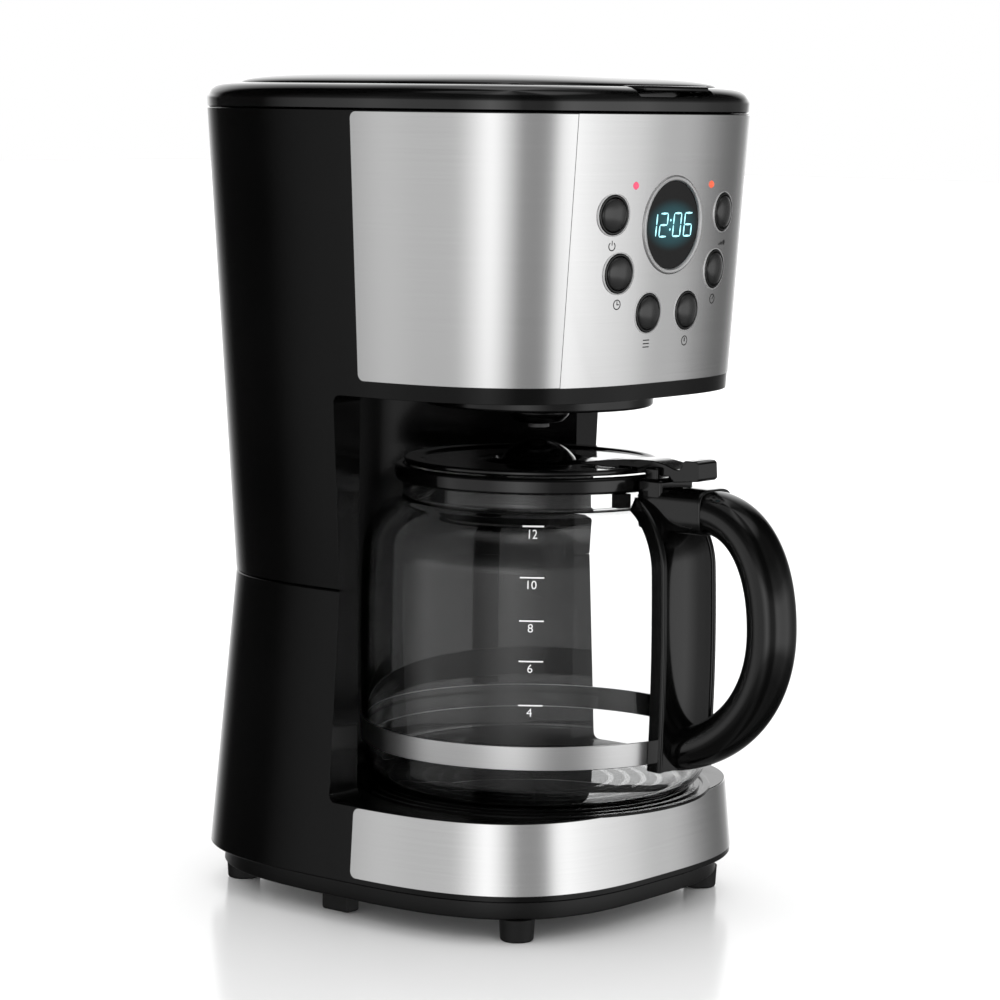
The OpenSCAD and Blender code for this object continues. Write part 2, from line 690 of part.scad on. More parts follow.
// A closed form through rings of the body's outline, each a height and an inset from the lid's edge
module ringed(stations) let(n = outline_points, last = len(stations) - 1) polyhedron(
    points = [for (s = stations, p = outline(lid_half(body_w, s[1]), lid_half(body_d, s[1])))
        [p.x, body_y + p.y, s[0]]],
    faces = concat(
        [[for (k = [0 : n - 1]) k]],
        [for (i = [0 : last - 1], k = [0 : n - 1]) let(a = i * n + k, b = i * n + (k + 1) % n)
            each [[a, a + n, b], [b, a + n, b + n]]],
        [[for (k = [n - 1 : -1 : 0]) last * n + k]]),
    convexity = 4);
lid_dome = [[0, 0], [0.5, 16], [0.85, 38], [1, 62]];
module lid_form(drop, inset, low_z) ringed(concat([[low_z, inset]],
    [for (s = lid_dome) [lid_edge_z - drop + s[0] * dome_h, s[1] + inset]]));
module top_lid() color(black) difference() {
    union() {
        intersection() {
            difference() { lid_form(0, 0, lid_low_z); lid_form(lid_skin, lid_skin, lid_low_z - past); }
            translate([-body_w, hinge_y - 0.4 - 2 * body_d, 0])
                cube([2 * body_w, 2 * body_d, 2 * rim_z]);
        }
        translate([-tab_half_w, front_y + 1, lid_edge_z - 1.6])
            cube([2 * tab_half_w, rim_w + 4, 2.6]);
        both_sides() {
            hinge_round(hinge_x - knuckle_len / 2, hinge_x + knuckle_len / 2, knuckle_r);
            translate([hinge_x - knuckle_len / 2, hinge_y - 8, hinge_z - 1.2])
                cube([knuckle_len, 8, 2.4]);
        }
    }
    both_sides() {
        hinge_round(hinge_x - knuckle_len, hinge_x + knuckle_len, hinge_pin_r + running_gap);
        for (x = ear_xs) hinge_round(x - end_gap, x + ear_len + end_gap, knuckle_r + ear_gap);
    }
}
module spray_head() color(soft_black) on_carafe_axis(spout_z - 6) difference() {
    union() {
        cylinder(h = 8, r = spray_r);
        cylinder(h = lid_edge_z - lid_skin + dome_h * 0.6 - spout_z + 6, r = 6);
    }
    translate([0, 0, 1.5]) difference() { cylinder(h = 5, r = spray_r - 1.5); cylinder(h = 5, r = 6); }
    for (ring = [8, 15], a = [0 : 45 : 315]) rotate([0, 0, a + ring]) translate([ring, 0, -past])
        cylinder(h = 1.5 + 2 * past, r = 1);
}

// ---- carafe

base_corner = 11.4;
belly_h = 66 / 137 * carafe_h;
shoulder_h = 98 / 137 * carafe_h;
belly_drop = 1.7;
shoulder_r = 28.3;
shoulder_turn = 63;
neck_low_h = carafe_h - 12.5;
function belly(h) = carafe_r - belly_drop * pow((h - belly_h) / (belly_h - base_corner), 2);
// The glass wall from its bottom corner to its shoulder, set in by a distance
function glass_side(inset, low = base_corner) = concat(
    [for (i = [0 : 8]) let(h = blend(low, shoulder_h, i / 8)) [belly(h) - inset, h]],
    [for (a = [7 : 7 : shoulder_turn])
        [belly(shoulder_h) - shoulder_r + (shoulder_r - inset) * cos(a),
         shoulder_h + (shoulder_r - inset) * sin(a)]]);
function glass_corner(inset) = [for (a = [-90 : 10 : -10])
    [belly(base_corner) - base_corner + (base_corner - inset) * cos(a),
     base_corner + (base_corner - inset) * sin(a)]];
function reversed(list) = [for (i = [len(list) - 1 : -1 : 0]) list[i]];
function glass_wall(inset) = concat([[0, inset]], glass_corner(inset), glass_side(inset),
    [[neck_r - inset, neck_low_h], [neck_r - inset, carafe_h - 1.5]]);
module carafe_glass() color("#dfe6ea", 0.35) on_carafe_axis(plate_z) rotate_extrude()
    polygon(concat(glass_wall(0), [[neck_r - 0.5, carafe_h], [neck_r - glass_t + 0.5, carafe_h]],
                   reversed(glass_wall(glass_t))));
band_low_h = 18.9;
band_h = 10;
module carafe_band() color(bright_steel) on_carafe_axis(plate_z) rotate_extrude()
    polygon([[belly(band_low_h) + 0.02, band_low_h], [belly(band_low_h) + 0.7, band_low_h],
             [belly(band_low_h + band_h) + 0.7, band_low_h + band_h],
             [belly(band_low_h + band_h) + 0.02, band_low_h + band_h]]);
collar_r = neck_r + 3.5;
collar_low_h = carafe_h - 6.5;
module collar_ring(low, high) difference() {
    translate([0, 0, low]) cylinder(h = high - low, r = collar_r);
    translate([0, 0, low - past]) cylinder(h = high - low + 2 * past, r = neck_r + 0.02);
}
module carafe_collar() color(black) on_carafe_axis(plate_z)
    collar_ring(collar_low_h, carafe_h + 0.4);

// The handle: a bracket on the collar and a grip swept along two curves
shield_out = 6.5;
shield_gap = 0.9;
shield_turn = 13;
grip_top = [carafe_y - carafe_r - 14.5, plate_z + carafe_h - 12.7];
grip_mid = [carafe_y - handle_reach, plate_z + carafe_h * 0.56];
grip_end = [carafe_y - carafe_r - 2.5, plate_z + carafe_h * 0.175];
function curve(a, b, c, d, t) = let(u = 1 - t)
    u * u * u * a + 3 * u * u * t * b + 3 * u * t * t * c + t * t * t * d;
function grip_at(t) = t <= 0.5
    ? curve(grip_top, [blend(grip_top.x, grip_mid.x, 0.6), grip_top.y],
            [grip_mid.x, blend(grip_mid.y, grip_top.y, 0.62)], grip_mid, 2 * t)
    : curve(grip_mid, [grip_mid.x, blend(grip_mid.y, grip_end.y, 0.53)],
            [blend(grip_end.x, grip_mid.x, 0.57), blend(grip_end.y, grip_mid.y, 0.09)],
            grip_end, 2 * t - 1);
grip_rings = 26;
grip_sides = 16;
function grip_ring(i) = let(t = i / (grip_rings - 1), p = grip_at(t),
    d = grip_at(min(1, t + 0.01)) - grip_at(max(0, t - 0.01)), n = [-d.y, d.x] / norm(d))
    [for (k = [0 : grip_sides - 1]) let(a = 360 * k / grip_sides, out = grip_half_t * sin(a))
        [grip_half_w * cos(a), p.x + n.x * out, p.y + n.y * out]];
module grip() polyhedron(
    points = [for (i = [0 : grip_rings - 1]) each grip_ring(i)],
    faces = concat(
        [[for (k = [grip_sides - 1 : -1 : 0]) k]],
        [for (i = [0 : grip_rings - 2], k = [0 : grip_sides - 1]) let(next = (k + 1) % grip_sides)
            [i * grip_sides + k, i * grip_sides + next, (i + 1) * grip_sides + next,
             (i + 1) * grip_sides + k]],
        [[for (k = [0 : grip_sides - 1]) (grip_rings - 1) * grip_sides + k]]),
    convexity = 4);
module shield_form(low, inset_in, turn)
    on_carafe_axis(plate_z) rotate([0, 0, -90 - turn]) rotate_extrude(angle = 2 * turn)
        polygon(concat(glass_side(-inset_in - shield_out, low),
                       reversed(glass_side(-inset_in, low))));
lid_axis = [carafe_y - collar_r - 5.5, lid_z + 1.2];
lid_ear_t = 3;
lid_knuckle_r = 3;
lid_knuckle_half = 6;
module lid_round(x0, x1, r)
    translate([x0, lid_axis.x, lid_axis.y]) rotate([0, 90, 0]) cylinder(h = x1 - x0, r = r);
bracket_h = 18.6;
module carafe_handle() color(black) difference() {
    union() {
        grip();
        translate([-grip_half_w, grip_top.x - 2, grip_top.y - bracket_h / 2])
            cube([2 * grip_half_w, carafe_y - neck_r - grip_top.x, bracket_h]);
        both_sides() {
            lid_round(lid_knuckle_half + 0.3, lid_knuckle_half + 0.3 + lid_ear_t, lid_knuckle_r);
            translate([lid_knuckle_half + 0.3, lid_axis.x - lid_knuckle_r, grip_top.y])
                cube([lid_ear_t, 2 * lid_knuckle_r, lid_axis.y - grip_top.y]);
        }
    }
    on_carafe_axis(plate_z) {
        cylinder(h = collar_low_h + 0.02, r = neck_r + 1.5);
        translate([0, 0, collar_low_h - 0.02]) cylinder(h = 20, r = collar_r + 0.02);
        rotate_extrude() polygon(concat([[0, base_corner]], glass_side(-shield_gap - shield_out - 0.02),
            [[0, shoulder_h + shoulder_r]]));
    }
    lid_round(-lid_knuckle_half - 10, lid_knuckle_half + 10, hinge_pin_r);
    from_glass(0, 11.2, screw_r + running_gap);
}
shield_low_h = base_corner + 2;
screw_start_y = carafe_y - carafe_r - shield_gap - 0.2;
screw_head_r = 3.2;
screw_head_t = 2;
module from_glass(depth, h, r)
    translate([0, screw_start_y - depth, grip_end.y]) rotate([90, 0, 0]) cylinder(h = h, r = r);
module handle_shield() color(black) difference() {
    shield_form(shield_low_h, shield_gap, shield_turn);
    from_glass(-past, 20, screw_r + running_gap);
    from_glass(-past, past + screw_head_t + 0.2, screw_head_r + 0.2);
}
module shield_screw() color(bright_steel) {
    from_glass(0, screw_head_t, screw_head_r);
    from_glass(0, 11, screw_r);
}
module collar_clamp() color(black) on_carafe_axis(plate_z)
    rotate([0, 0, -90 - 17]) translate([neck_r + 0.6, -3, neck_low_h + 0.2])
        cube([5, 6, collar_low_h - neck_low_h - 0.2]);

// ---- carafe lid

lever_reach = 30;
lever_half_w = 6;
module carafe_lid() color(black) {
    on_carafe_axis(lid_z) difference() {
        union() {
            cylinder(h = lid_t, r = neck_r - 0.5);
            translate([0, 0, dome_z - lid_z - lid_dome_r]) intersection() {
                sphere(lid_dome_r);
                translate([0, 0, lid_dome_r - dome_z + lid_z + 0.5])
                    cylinder(h = 2 * lid_dome_r, r = 2 * lid_dome_r);
            }
        }
        translate([0, 0, dome_z - lid_z - lid_dome_r]) intersection() {
            sphere(lid_dome_r - 1.8);
            translate([0, 0, lid_dome_r - dome_z + lid_z - past])
                cylinder(h = 2 * lid_dome_r, r = 2 * lid_dome_r);
        }
        cylinder(h = 8 * lid_t, r = 3, center = true);
    }
}
module thumb_lever() color(black) difference() {
    union() {
        lid_round(-lid_knuckle_half, lid_knuckle_half, lid_knuckle_r);
        translate([-lever_half_w, lid_axis.x, lid_z + lid_t + 0.01])
            cube([2 * lever_half_w, 16, 2]);
        translate([-lever_half_w, lid_axis.x - lever_reach, lid_axis.y - 0.5])
            cube([2 * lever_half_w, lever_reach, 3]);
        translate([-lever_half_w - 1, lid_axis.x - lever_reach, lid_axis.y - 0.5])
            cube([2 * lever_half_w + 2, 5, 7.5]);
    }
    lid_round(-lid_knuckle_half - 1, lid_knuckle_half + 1, hinge_pin_r + running_gap);
}
module carafe_lid_pin() color(bright_steel)
    lid_round(-lid_knuckle_half - 0.3 - lid_ear_t, lid_knuckle_half + 0.3 + lid_ear_t, hinge_pin_r);

lower_shell();
upper_shell();
base_cover();
front_feet();
side_feet();
rear_feet();
base_screws();
base_steel_trim();
head_wrap_left();
head_wrap_right();
control_fascia();
warming_plate();
plate_seal();
heater_tube();
thermostat();
thermal_fuse();
check_valve();
inlet_hose();
outlet_hose();
riser_tube();
water_tank();
power_board();
cord_gland();
brew_chamber();
filter_basket();
mesh_filter();
valve_spring();
drip_valve();
top_rim();
top_lid();
spray_head();
lid_hinge_pins();
display_bezel();
display_lens();
display_module();
control_board();
board_switches();
status_lamps();
button_rings();
button_power();
button_delay();
button_program();
button_hour();
button_minute();
button_strength();
carafe_glass();
carafe_band();
carafe_collar();
carafe_handle();
handle_shield();
shield_screw();
collar_clamp();
carafe_lid();
thumb_lever();
carafe_lid_pin();
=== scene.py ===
# %% [markdown]
# # Drip coffee maker
# The machine has black moulded shells, horizontally brushed steel skins, a round clock panel and
# a glass carafe on a warming plate. The CAD frame holds every part's place and how it moves.
# This lesson puts a finished surface round that frame, one real piece at a time.

# %% Load the frame and keep its box
import math

import bmesh
import bpy
from mathutils import Matrix, Vector


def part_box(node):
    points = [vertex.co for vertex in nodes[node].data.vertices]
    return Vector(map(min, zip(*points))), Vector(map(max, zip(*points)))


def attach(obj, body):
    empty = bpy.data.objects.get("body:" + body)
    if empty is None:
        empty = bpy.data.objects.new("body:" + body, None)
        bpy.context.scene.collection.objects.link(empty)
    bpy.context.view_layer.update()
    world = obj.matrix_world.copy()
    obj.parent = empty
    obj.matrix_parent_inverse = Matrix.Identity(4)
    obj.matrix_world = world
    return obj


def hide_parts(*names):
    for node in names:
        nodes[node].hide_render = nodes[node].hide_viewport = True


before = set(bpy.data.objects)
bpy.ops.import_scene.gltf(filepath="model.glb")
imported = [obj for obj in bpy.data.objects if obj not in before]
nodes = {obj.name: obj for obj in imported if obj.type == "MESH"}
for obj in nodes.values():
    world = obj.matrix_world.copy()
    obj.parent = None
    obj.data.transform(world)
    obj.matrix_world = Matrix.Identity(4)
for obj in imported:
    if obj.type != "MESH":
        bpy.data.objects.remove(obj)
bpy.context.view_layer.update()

# %% [markdown]
# ## Sizes
# A moulded product is drawn in millimetres, so every piece here is drawn in millimetres too and
# scaled once when it becomes an object. Heights that the frame knows are read from its boxes.

# %% The sizes that the pieces share
MM = 0.001


def low(node):
    """The lowest corner of a CAD node, in millimetres."""
    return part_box(node)[0] / MM


def high(node):
    """The highest corner of a CAD node, in millimetres."""
    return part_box(node)[1] / MM


def at(x, y, z):
    return Matrix.Translation((x, y, z))


base_z = low("lower_shell").z
waist_z = high("lower_shell").z
top_z = high("upper_shell").z
rim_z = high("top_rim").z
plate_z = high("warming_plate").z
deck_z = plate_z - 0.6
head_z = low("upper_shell").z + 82.0
carafe_y = (low("warming_plate").y + high("warming_plate").y) / 2
half_w_top = 97.0
half_d_top = 106.5
body_y = 30.0
waist_tuck = 11.5
foot_tuck_w, foot_tuck_d = 3.5, 0.5
squareness = 3.1
wall = 2.5
column_y = 31.0
recess_r = 82.1
fascia_half_w = 57.5
print("rim", round(rim_z, 2), "plate", round(plate_z, 2), "carafe axis", round(carafe_y, 2))


def half_sizes(z, inset):
    """Half width and half depth of the body's outline at a height, set in by a distance."""
    waist_w, waist_d = half_w_top - waist_tuck, half_d_top - waist_tuck
    if z >= waist_z:
        share = (z - waist_z) / (top_z - waist_z)
        return waist_w + waist_tuck * share - inset, waist_d + waist_tuck * share - inset
    share = (z - base_z) / (waist_z - base_z)
    foot_w, foot_d = half_w_top - foot_tuck_w, half_d_top - foot_tuck_d
    return foot_w + (waist_w - foot_w) * share - inset, foot_d + (waist_d - foot_d) * share - inset


def on_outline(turn, z, inset):
    """A point on the body's rounded oblong outline, at a polar angle about the body's middle."""
    a, b = half_sizes(z, inset)
    c, s = math.cos(turn), math.sin(turn)
    r = (abs(c / a) ** squareness + abs(s / b) ** squareness) ** (-1 / squareness)
    return Vector((r * c, body_y + r * s, z))


def front_frame(x, z):
    """A matrix on the control face: its Z points straight out of the steel, its Y upwards."""
    a, b = half_sizes(z, 0)
    share = abs(x) / a
    reach = (1 - share ** squareness) ** (1 / squareness)
    turn = math.atan2(math.copysign(share ** (squareness - 1) / a, x),
                      reach ** (squareness - 1) / b)
    tilt = math.atan(waist_tuck / (top_z - waist_z)) + math.pi / 2
    return (at(x, body_y - b * reach, z) @ Matrix.Rotation(turn, 4, "Z")
            @ Matrix.Rotation(tilt, 4, "X"))


# %% [markdown]
# ## The camera
# The machine is seen from its front left corner, a little from above, through a long lens from
# well over a metre away, so its upright edges stay almost parallel.

# %% Camera
camera_data = bpy.data.cameras.new("camera")
camera_data.lens = 119.3
camera_data.sensor_width = 36
camera = bpy.data.objects.new("camera", camera_data)
bpy.context.scene.collection.objects.link(camera)
look = Vector((0.77072, 0.62590, -0.11934)).normalized()
right = Vector((0.63152, -0.77526, 0.01240)).normalized()
up = right.cross(look)
camera.matrix_world = at(-1.1, -0.8781, 0.341) @ Matrix(
    (right, up, -look)).transposed().to_4x4()
bpy.context.scene.camera = camera

# %% [markdown]
# ## Shader maths as expressions
# A material is a graph of nodes. `Wire` wraps one socket, so that sums on it read like sums.
# `Shader.node` makes any node from its type, its settings and the values or wires of its sockets.

# %% Wire and Shader


class Wire:
    """The value that leaves a socket."""

    def __init__(self, shader, socket):
        self.shader, self.socket = shader, socket

    def maths(self, operation, *values):
        return self.shader.node("Math", {"operation": operation}, dict(enumerate(values)))

    def __add__(self, other):
        return self.maths("ADD", self, other)

    def __mul__(self, other):
        return self.maths("MULTIPLY", self, other)

    __radd__, __rmul__ = __add__, __mul__


class Shader:
    """The node graph of a material or a world."""

    def __init__(self, store):
        store.use_nodes = True
        self.store, self.tree = store, store.node_tree
        self.tree.nodes.clear()

    def node(self, kind, settings=None, inputs=None, out=0):
        made = self.tree.nodes.new("ShaderNode" + kind)
        for key, value in (settings or {}).items():
            if key == "stops":
                stops = made.color_ramp.elements
                while len(stops) < len(value):
                    stops.new(0.5)
                for stop, (place, colour) in zip(stops, value):
                    stop.position, stop.color = place, colour
            elif key == "blend":
                made.color_ramp.interpolation = value
            else:
                setattr(made, key, value)
        for key, value in (inputs or {}).items():
            if isinstance(value, Wire):
                self.tree.links.new(value.socket, made.inputs[key])
            else:
                made.inputs[key].default_value = value
        return Wire(self, made.outputs[out])

    def noise(self, scale, detail=2.0, stretch=(1, 1, 1)):
        """Noise on Object coordinates, stretched where its grain is long."""
        place = self.node("TexCoord", out="Object")
        place = self.node("Mapping", None, {"Vector": place, "Scale": stretch})
        return self.node("TexNoise", None, {"Vector": place, "Scale": scale, "Detail": detail})

    def shade(self, wire, dark, light, start=0.3, end=0.7):
        """A colour that goes from dark to light as the wire goes from start to end."""
        return self.node("ValToRGB", {"stops": [(start, (*dark, 1)), (end, (*light, 1))]},
                         {"Fac": wire})

    def product(self, one, other):
        """Two colours multiplied."""
        return self.node("Mix", {"data_type": "RGBA", "blend_type": "MULTIPLY"},
                         {0: 1.0, 6: one, 7: other}, 2)

    def bump(self, height, depth, strength=1.0):
        return self.node("Bump", None, {"Height": height, "Distance": depth,
                                        "Strength": strength})

    def surface(self, inputs):
        """Closes the material with one Principled shader."""
        out = self.node("BsdfPrincipled", None, inputs)
        self.node_output(out)
        return self.store

    def node_output(self, out):
        kind = "OutputWorld" if isinstance(self.store, bpy.types.World) else "OutputMaterial"
        end = self.tree.nodes.new("ShaderNode" + kind)
        self.tree.links.new(out.socket, end.inputs["Surface"])


def grey(value):
    return (value, value, value)


# %% [markdown]
# ## Moulded plastic, rubber and plain metal
# Every moulded or cast surface has a fine relief from its mould, and a slow drift in shade and
# gloss from handling. One recipe with different numbers gives all of them.

# %% A recipe for moulded and cast surfaces


def moulded(name, dark, light, rough, spread=0.06, grain=700.0, relief=0.00002, **sockets):
    s = Shader(bpy.data.materials.new(name))
    drift = s.noise(14.0, 4.0)
    fine = s.noise(grain, 3.0)
    inputs = {
        "Base Color": s.shade(drift, dark, light),
        "Roughness": rough - spread / 2 + drift * spread + fine * (spread / 3),
        "Normal": s.bump(fine, relief),
    }
    inputs.update({key.replace("_", " "): value for key, value in sockets.items()})
    return s.surface(inputs)


shell_black = moulded("shell_black", grey(0.0010), grey(0.0022), 0.15, 0.05, 420.0, 0.000008,
                      Specular_IOR_Level=0.22)
gloss_black = moulded("gloss_black", grey(0.0010), grey(0.0022), 0.08, 0.03, 300.0, 0.000004,
                      Coat_Weight=0.5, Coat_Roughness=0.03)
cover_black = moulded("cover_black", grey(0.002), grey(0.004), 0.4, 0.1, 1500.0, 0.00003)
brew_plastic = moulded("brew_plastic", grey(0.0015), grey(0.003), 0.2, 0.08, 900.0, 0.000012)
foot_rubber = moulded("foot_rubber", grey(0.004), grey(0.009), 0.6, 0.12, 1800.0, 0.00004)
seal_rubber = moulded("seal_rubber", grey(0.003), grey(0.007), 0.5, 0.1, 1500.0, 0.00003)
gland_rubber = moulded("gland_rubber", grey(0.01), grey(0.02), 0.55, 0.1, 1500.0, 0.00003)
handle_black = moulded("handle_black", grey(0.0010), grey(0.0022), 0.1, 0.04, 500.0, 0.000006,
                       Specular_IOR_Level=0.4, Coat_Weight=0.3, Coat_Roughness=0.04)
button_black = moulded("button_black", grey(0.012), grey(0.02), 0.2, 0.05, 900.0, 0.000008,
                       Coat_Weight=0.4, Coat_Roughness=0.08)
switch_plastic = moulded("switch_plastic", grey(0.02), grey(0.035), 0.4)
valve_plastic = moulded("valve_plastic", grey(0.08), grey(0.12), 0.35)
fuse_sleeve = moulded("fuse_sleeve", (0.62, 0.56, 0.44), (0.74, 0.69, 0.57), 0.7, 0.1, 2500.0,
                      0.00006)
silicone = moulded("silicone", (0.55, 0.55, 0.52), (0.68, 0.68, 0.64), 0.38, 0.1, 800.0,
                   0.00002, Subsurface_Weight=0.15)
tank_plastic = moulded("tank_plastic", (0.03, 0.033, 0.038), (0.045, 0.049, 0.055), 0.3, 0.1,
                       700.0, 0.00002)
heater_metal = moulded("heater_metal", (0.42, 0.43, 0.45), (0.58, 0.59, 0.61), 0.42, 0.2, 900.0,
                       0.00004, Metallic=1.0)
thermostat_metal = moulded("thermostat_metal", (0.4, 0.41, 0.42), (0.52, 0.53, 0.54), 0.35,
                           0.15, 600.0, 0.00002, Metallic=1.0)
bright_steel = moulded("bright_steel", grey(0.72), grey(0.8), 0.13, 0.06, 1200.0, 0.000004,
                       Metallic=1.0)
satin_silver = moulded("satin_silver", grey(0.95), grey(1.0), 0.5, 0.06, 1200.0, 0.000004,
                       Metallic=1.0)
display_black = moulded("display_black", grey(0.008), grey(0.014), 0.4)

# %% [markdown]
# ## Brushed steel
# The skins are brushed sideways with a fine belt. The scratches run level round the body, so the
# noise is long in X and Y and very short in Z. It moves the gloss, the tone and the relief.

# %% Brushed steel


def brushed(name, tone, rough):
    s = Shader(bpy.data.materials.new(name))
    coarse = s.noise(1.0, 3.0, (9, 9, 900))
    fine = s.noise(1.0, 2.0, (22, 22, 5200))
    lines = coarse * 0.4 + fine * 0.6
    return s.surface({
        "Base Color": s.shade(lines, grey(tone - 0.03), grey(tone + 0.02), 0.25, 0.75),
        "Metallic": 1.0,
        "Roughness": rough - 0.03 + lines * 0.06,
        "Anisotropic": 0.3,
        "Normal": s.bump(lines, 0.00001, 0.25),
    })


steel_skin = brushed("steel_skin", 0.76, 0.2)
band_steel = brushed("band_steel", 0.94, 0.3)

# %% [markdown]
# ## Plate coating, circuit board, filter cloth and glass
# The warming plate has a speckled non-stick coat. The board has green lacquer over copper
# tracks. The permanent filter is a gold-toned woven mesh. The jug is clear borosilicate glass.

# %% Special finishes


def speckled(name):
    s = Shader(bpy.data.materials.new(name))
    flecks, wear = s.noise(2600.0, 1.0), s.noise(60.0, 5.0)
    return s.surface({
        "Base Color": s.shade(flecks, grey(0.008), grey(0.045), 0.55, 0.75),
        "Roughness": 0.3 + wear * 0.2, "Metallic": 0.2,
        "Normal": s.bump(flecks, 0.00003)})


def lacquered_board(name):
    s = Shader(bpy.data.materials.new(name))
    place = s.node("TexCoord", out="Object")
    tracks = s.node("TexBrick", {"offset": 0.5}, {
        "Vector": place, "Scale": 140.0, "Color1": (0.01, 0.09, 0.03, 1),
        "Color2": (0.012, 0.12, 0.045, 1), "Mortar": (0.06, 0.2, 0.08, 1),
        "Mortar Size": 0.03})
    return s.surface({"Base Color": tracks, "Roughness": 0.25 + s.noise(300.0) * 0.15,
                      "Normal": s.bump(s.noise(900.0), 0.00003)})


def woven(name):
    s = Shader(bpy.data.materials.new(name))
    place = s.node("TexCoord", out="Object")
    turned = s.node("Mapping", None, {"Vector": place, "Rotation": (0.4, 0.5, 0.785)})
    weft = s.node("TexWave", {"bands_direction": "X"}, {"Vector": place, "Scale": 420.0})
    warp = s.node("TexWave", {"bands_direction": "Z"}, {"Vector": turned, "Scale": 420.0})
    cloth = weft * 0.5 + warp * 0.5
    return s.surface({
        "Base Color": s.shade(cloth, (0.16, 0.09, 0.02), (0.72, 0.5, 0.2), 0.2, 0.8),
        "Metallic": 1.0, "Roughness": 0.3 + cloth * 0.15,
        "Normal": s.bump(cloth, 0.0002)})


def clear_glass(name):
    s = Shader(bpy.data.materials.new(name))
    ripple = s.noise(9.0, 2.0)
    return s.surface({
        "Base Color": s.shade(ripple, (0.985, 0.99, 0.99), (1, 1, 1)), "Roughness": 0.0,
        "IOR": 1.47, "Transmission Weight": 1.0, "Normal": s.bump(ripple, 0.0004, 0.5)})


def printed(name, dark, light, rough=0.5):
    return moulded(name, dark, light, rough, 0.05, 3000.0, 0.000003)


def lit(name, colour, strength, rough=0.25):
    s = Shader(bpy.data.materials.new(name))
    flicker = s.noise(400.0)
    return s.surface({
        "Base Color": (*[c * 0.3 for c in colour], 1), "Roughness": rough + flicker * 0.05,
        "Emission Color": s.shade(flicker, [c * 0.85 for c in colour], colour),
        "Emission Strength": strength})


def smoked_window(name, centre):
    """Smoked plastic over the clock, with a painted teal glow that stands in for the lit digits'
    light.
    """
    s = Shader(bpy.data.materials.new(name))
    place = s.node("TexCoord", out="Object")
    shifted = s.node("Mapping", None, {"Vector": place, "Location": [-c for c in centre]})
    wide = s.node("Mapping", None, {"Vector": shifted, "Scale": (52.0, 0.0, 88.0)})
    far = s.node("VectorMath", {"operation": "LENGTH"}, {0: wide}, "Value")
    # Painted glow: the window itself emits teal light, brightest at the clock's middle and fading
    # out towards its edge.
    painted_glow = s.node("ValToRGB", {"blend": "EASE", "stops": [
        (0.0, (0.03, 0.14, 0.165, 1)), (0.5, (0.012, 0.06, 0.072, 1)),
        (1.0, (0.0, 0.0, 0.0, 1))]}, {"Fac": far})
    return s.surface({"Base Color": s.shade(s.noise(30.0), grey(0.002), grey(0.004)),
                      "Roughness": 0.16 + s.noise(500.0) * 0.03,
                      "Specular IOR Level": 0.25, "Emission Color": painted_glow,
                      "Emission Strength": 1.0})


plate_coating = speckled("plate_coating")
board_green = lacquered_board("board_green")
gold_mesh = woven("gold_mesh")
jug_glass = clear_glass("jug_glass")
scale_white = printed("scale_white", grey(0.88), grey(0.93))
icon_black = printed("icon_black", grey(0.01), grey(0.02))
lamp_pink = lit("lamp_pink", (1.0, 0.12, 0.22), 0.9)
lamp_orange = lit("lamp_orange", (1.0, 0.16, 0.08), 0.9)
digit_cyan = lit("digit_cyan", (0.42, 0.9, 1.0), 1.6)
print("finishes", len(bpy.data.materials))

# %% [markdown]
# ## Making pieces
# A bmesh is drawn in millimetres with Blender's own operators. `piece` then turns it into an
# object at the origin, rounds its edges, shades it smooth, and ties it to its body.

# %% Helpers that make pieces


def piece(name, bm, finish, body, replaced=(), bevel=0.0, smooth=32, segments=2):
    bmesh.ops.scale(bm, vec=(MM, MM, MM), verts=bm.verts)
    mesh = bpy.data.meshes.new(name)
    bm.to_mesh(mesh)
    bm.free()
    obj = bpy.data.objects.new(name, mesh)
    bpy.context.scene.collection.objects.link(obj)
    mesh.materials.append(finish)
    mesh.shade_smooth()
    mesh.set_sharp_from_angle(angle=math.radians(smooth))
    if bevel:
        rounding = obj.modifiers.new("rounding", "BEVEL")
        rounding.limit_method = "ANGLE"
        rounding.angle_limit = math.radians(smooth)
        rounding.width = bevel * MM
        rounding.segments = segments
        rounding.harden_normals = True
    else:
        even = obj.modifiers.new("even", "WEIGHTED_NORMAL")
        even.keep_sharp = True
    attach(obj, body)
    if replaced:
        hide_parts(*replaced)
    return obj


def merged(*parts):
    """Several bmeshes as one."""
    whole = bmesh.new()
    for part in parts:
        store = bpy.data.meshes.new("part")
        part.to_mesh(store)
        part.free()
        whole.from_mesh(store)
        bpy.data.meshes.remove(store)
    return whole


def moved(bm, matrix):
    bmesh.ops.transform(bm, matrix=matrix, verts=bm.verts)
    return bm


def copied(bm, matrix):
    return moved(bm.copy(), matrix)


def outward(bm):
    bmesh.ops.recalc_face_normals(bm, faces=bm.faces)
    return bm


def rounded(bm, geom, size, segments=3, affect="EDGES"):
    """Rounds edges or corners of a bmesh."""
    bmesh.ops.bevel(bm, geom=geom, offset=size, offset_type="OFFSET", segments=segments,
                    affect=affect, profile=0.5, material=-1)


def pulled(bm, faces, way):
    """Pulls flat faces along a way, which makes them a solid."""
    made = bmesh.ops.extrude_face_region(bm, geom=faces)["geom"]
    tops = [g for g in made if isinstance(g, bmesh.types.BMVert)]
    bmesh.ops.translate(bm, vec=way, verts=tops)


def carve(bm, tool, operation="DIFFERENCE"):
    """A Boolean cut of one bmesh by another."""
    pair = []
    for part in (bm, tool):
        store = bpy.data.meshes.new("part")
        part.to_mesh(store)
        part.free()
        pair.append(bpy.data.objects.new("part", store))
        bpy.context.scene.collection.objects.link(pair[-1])
    cut = pair[0].modifiers.new("cut", "BOOLEAN")
    cut.operation, cut.object, cut.solver = operation, pair[1], "EXACT"
    result = bmesh.new()
    result.from_object(pair[0], bpy.context.evaluated_depsgraph_get())
    for part in pair:
        store = part.data
        bpy.data.objects.remove(part)
        bpy.data.meshes.remove(store)
    return result


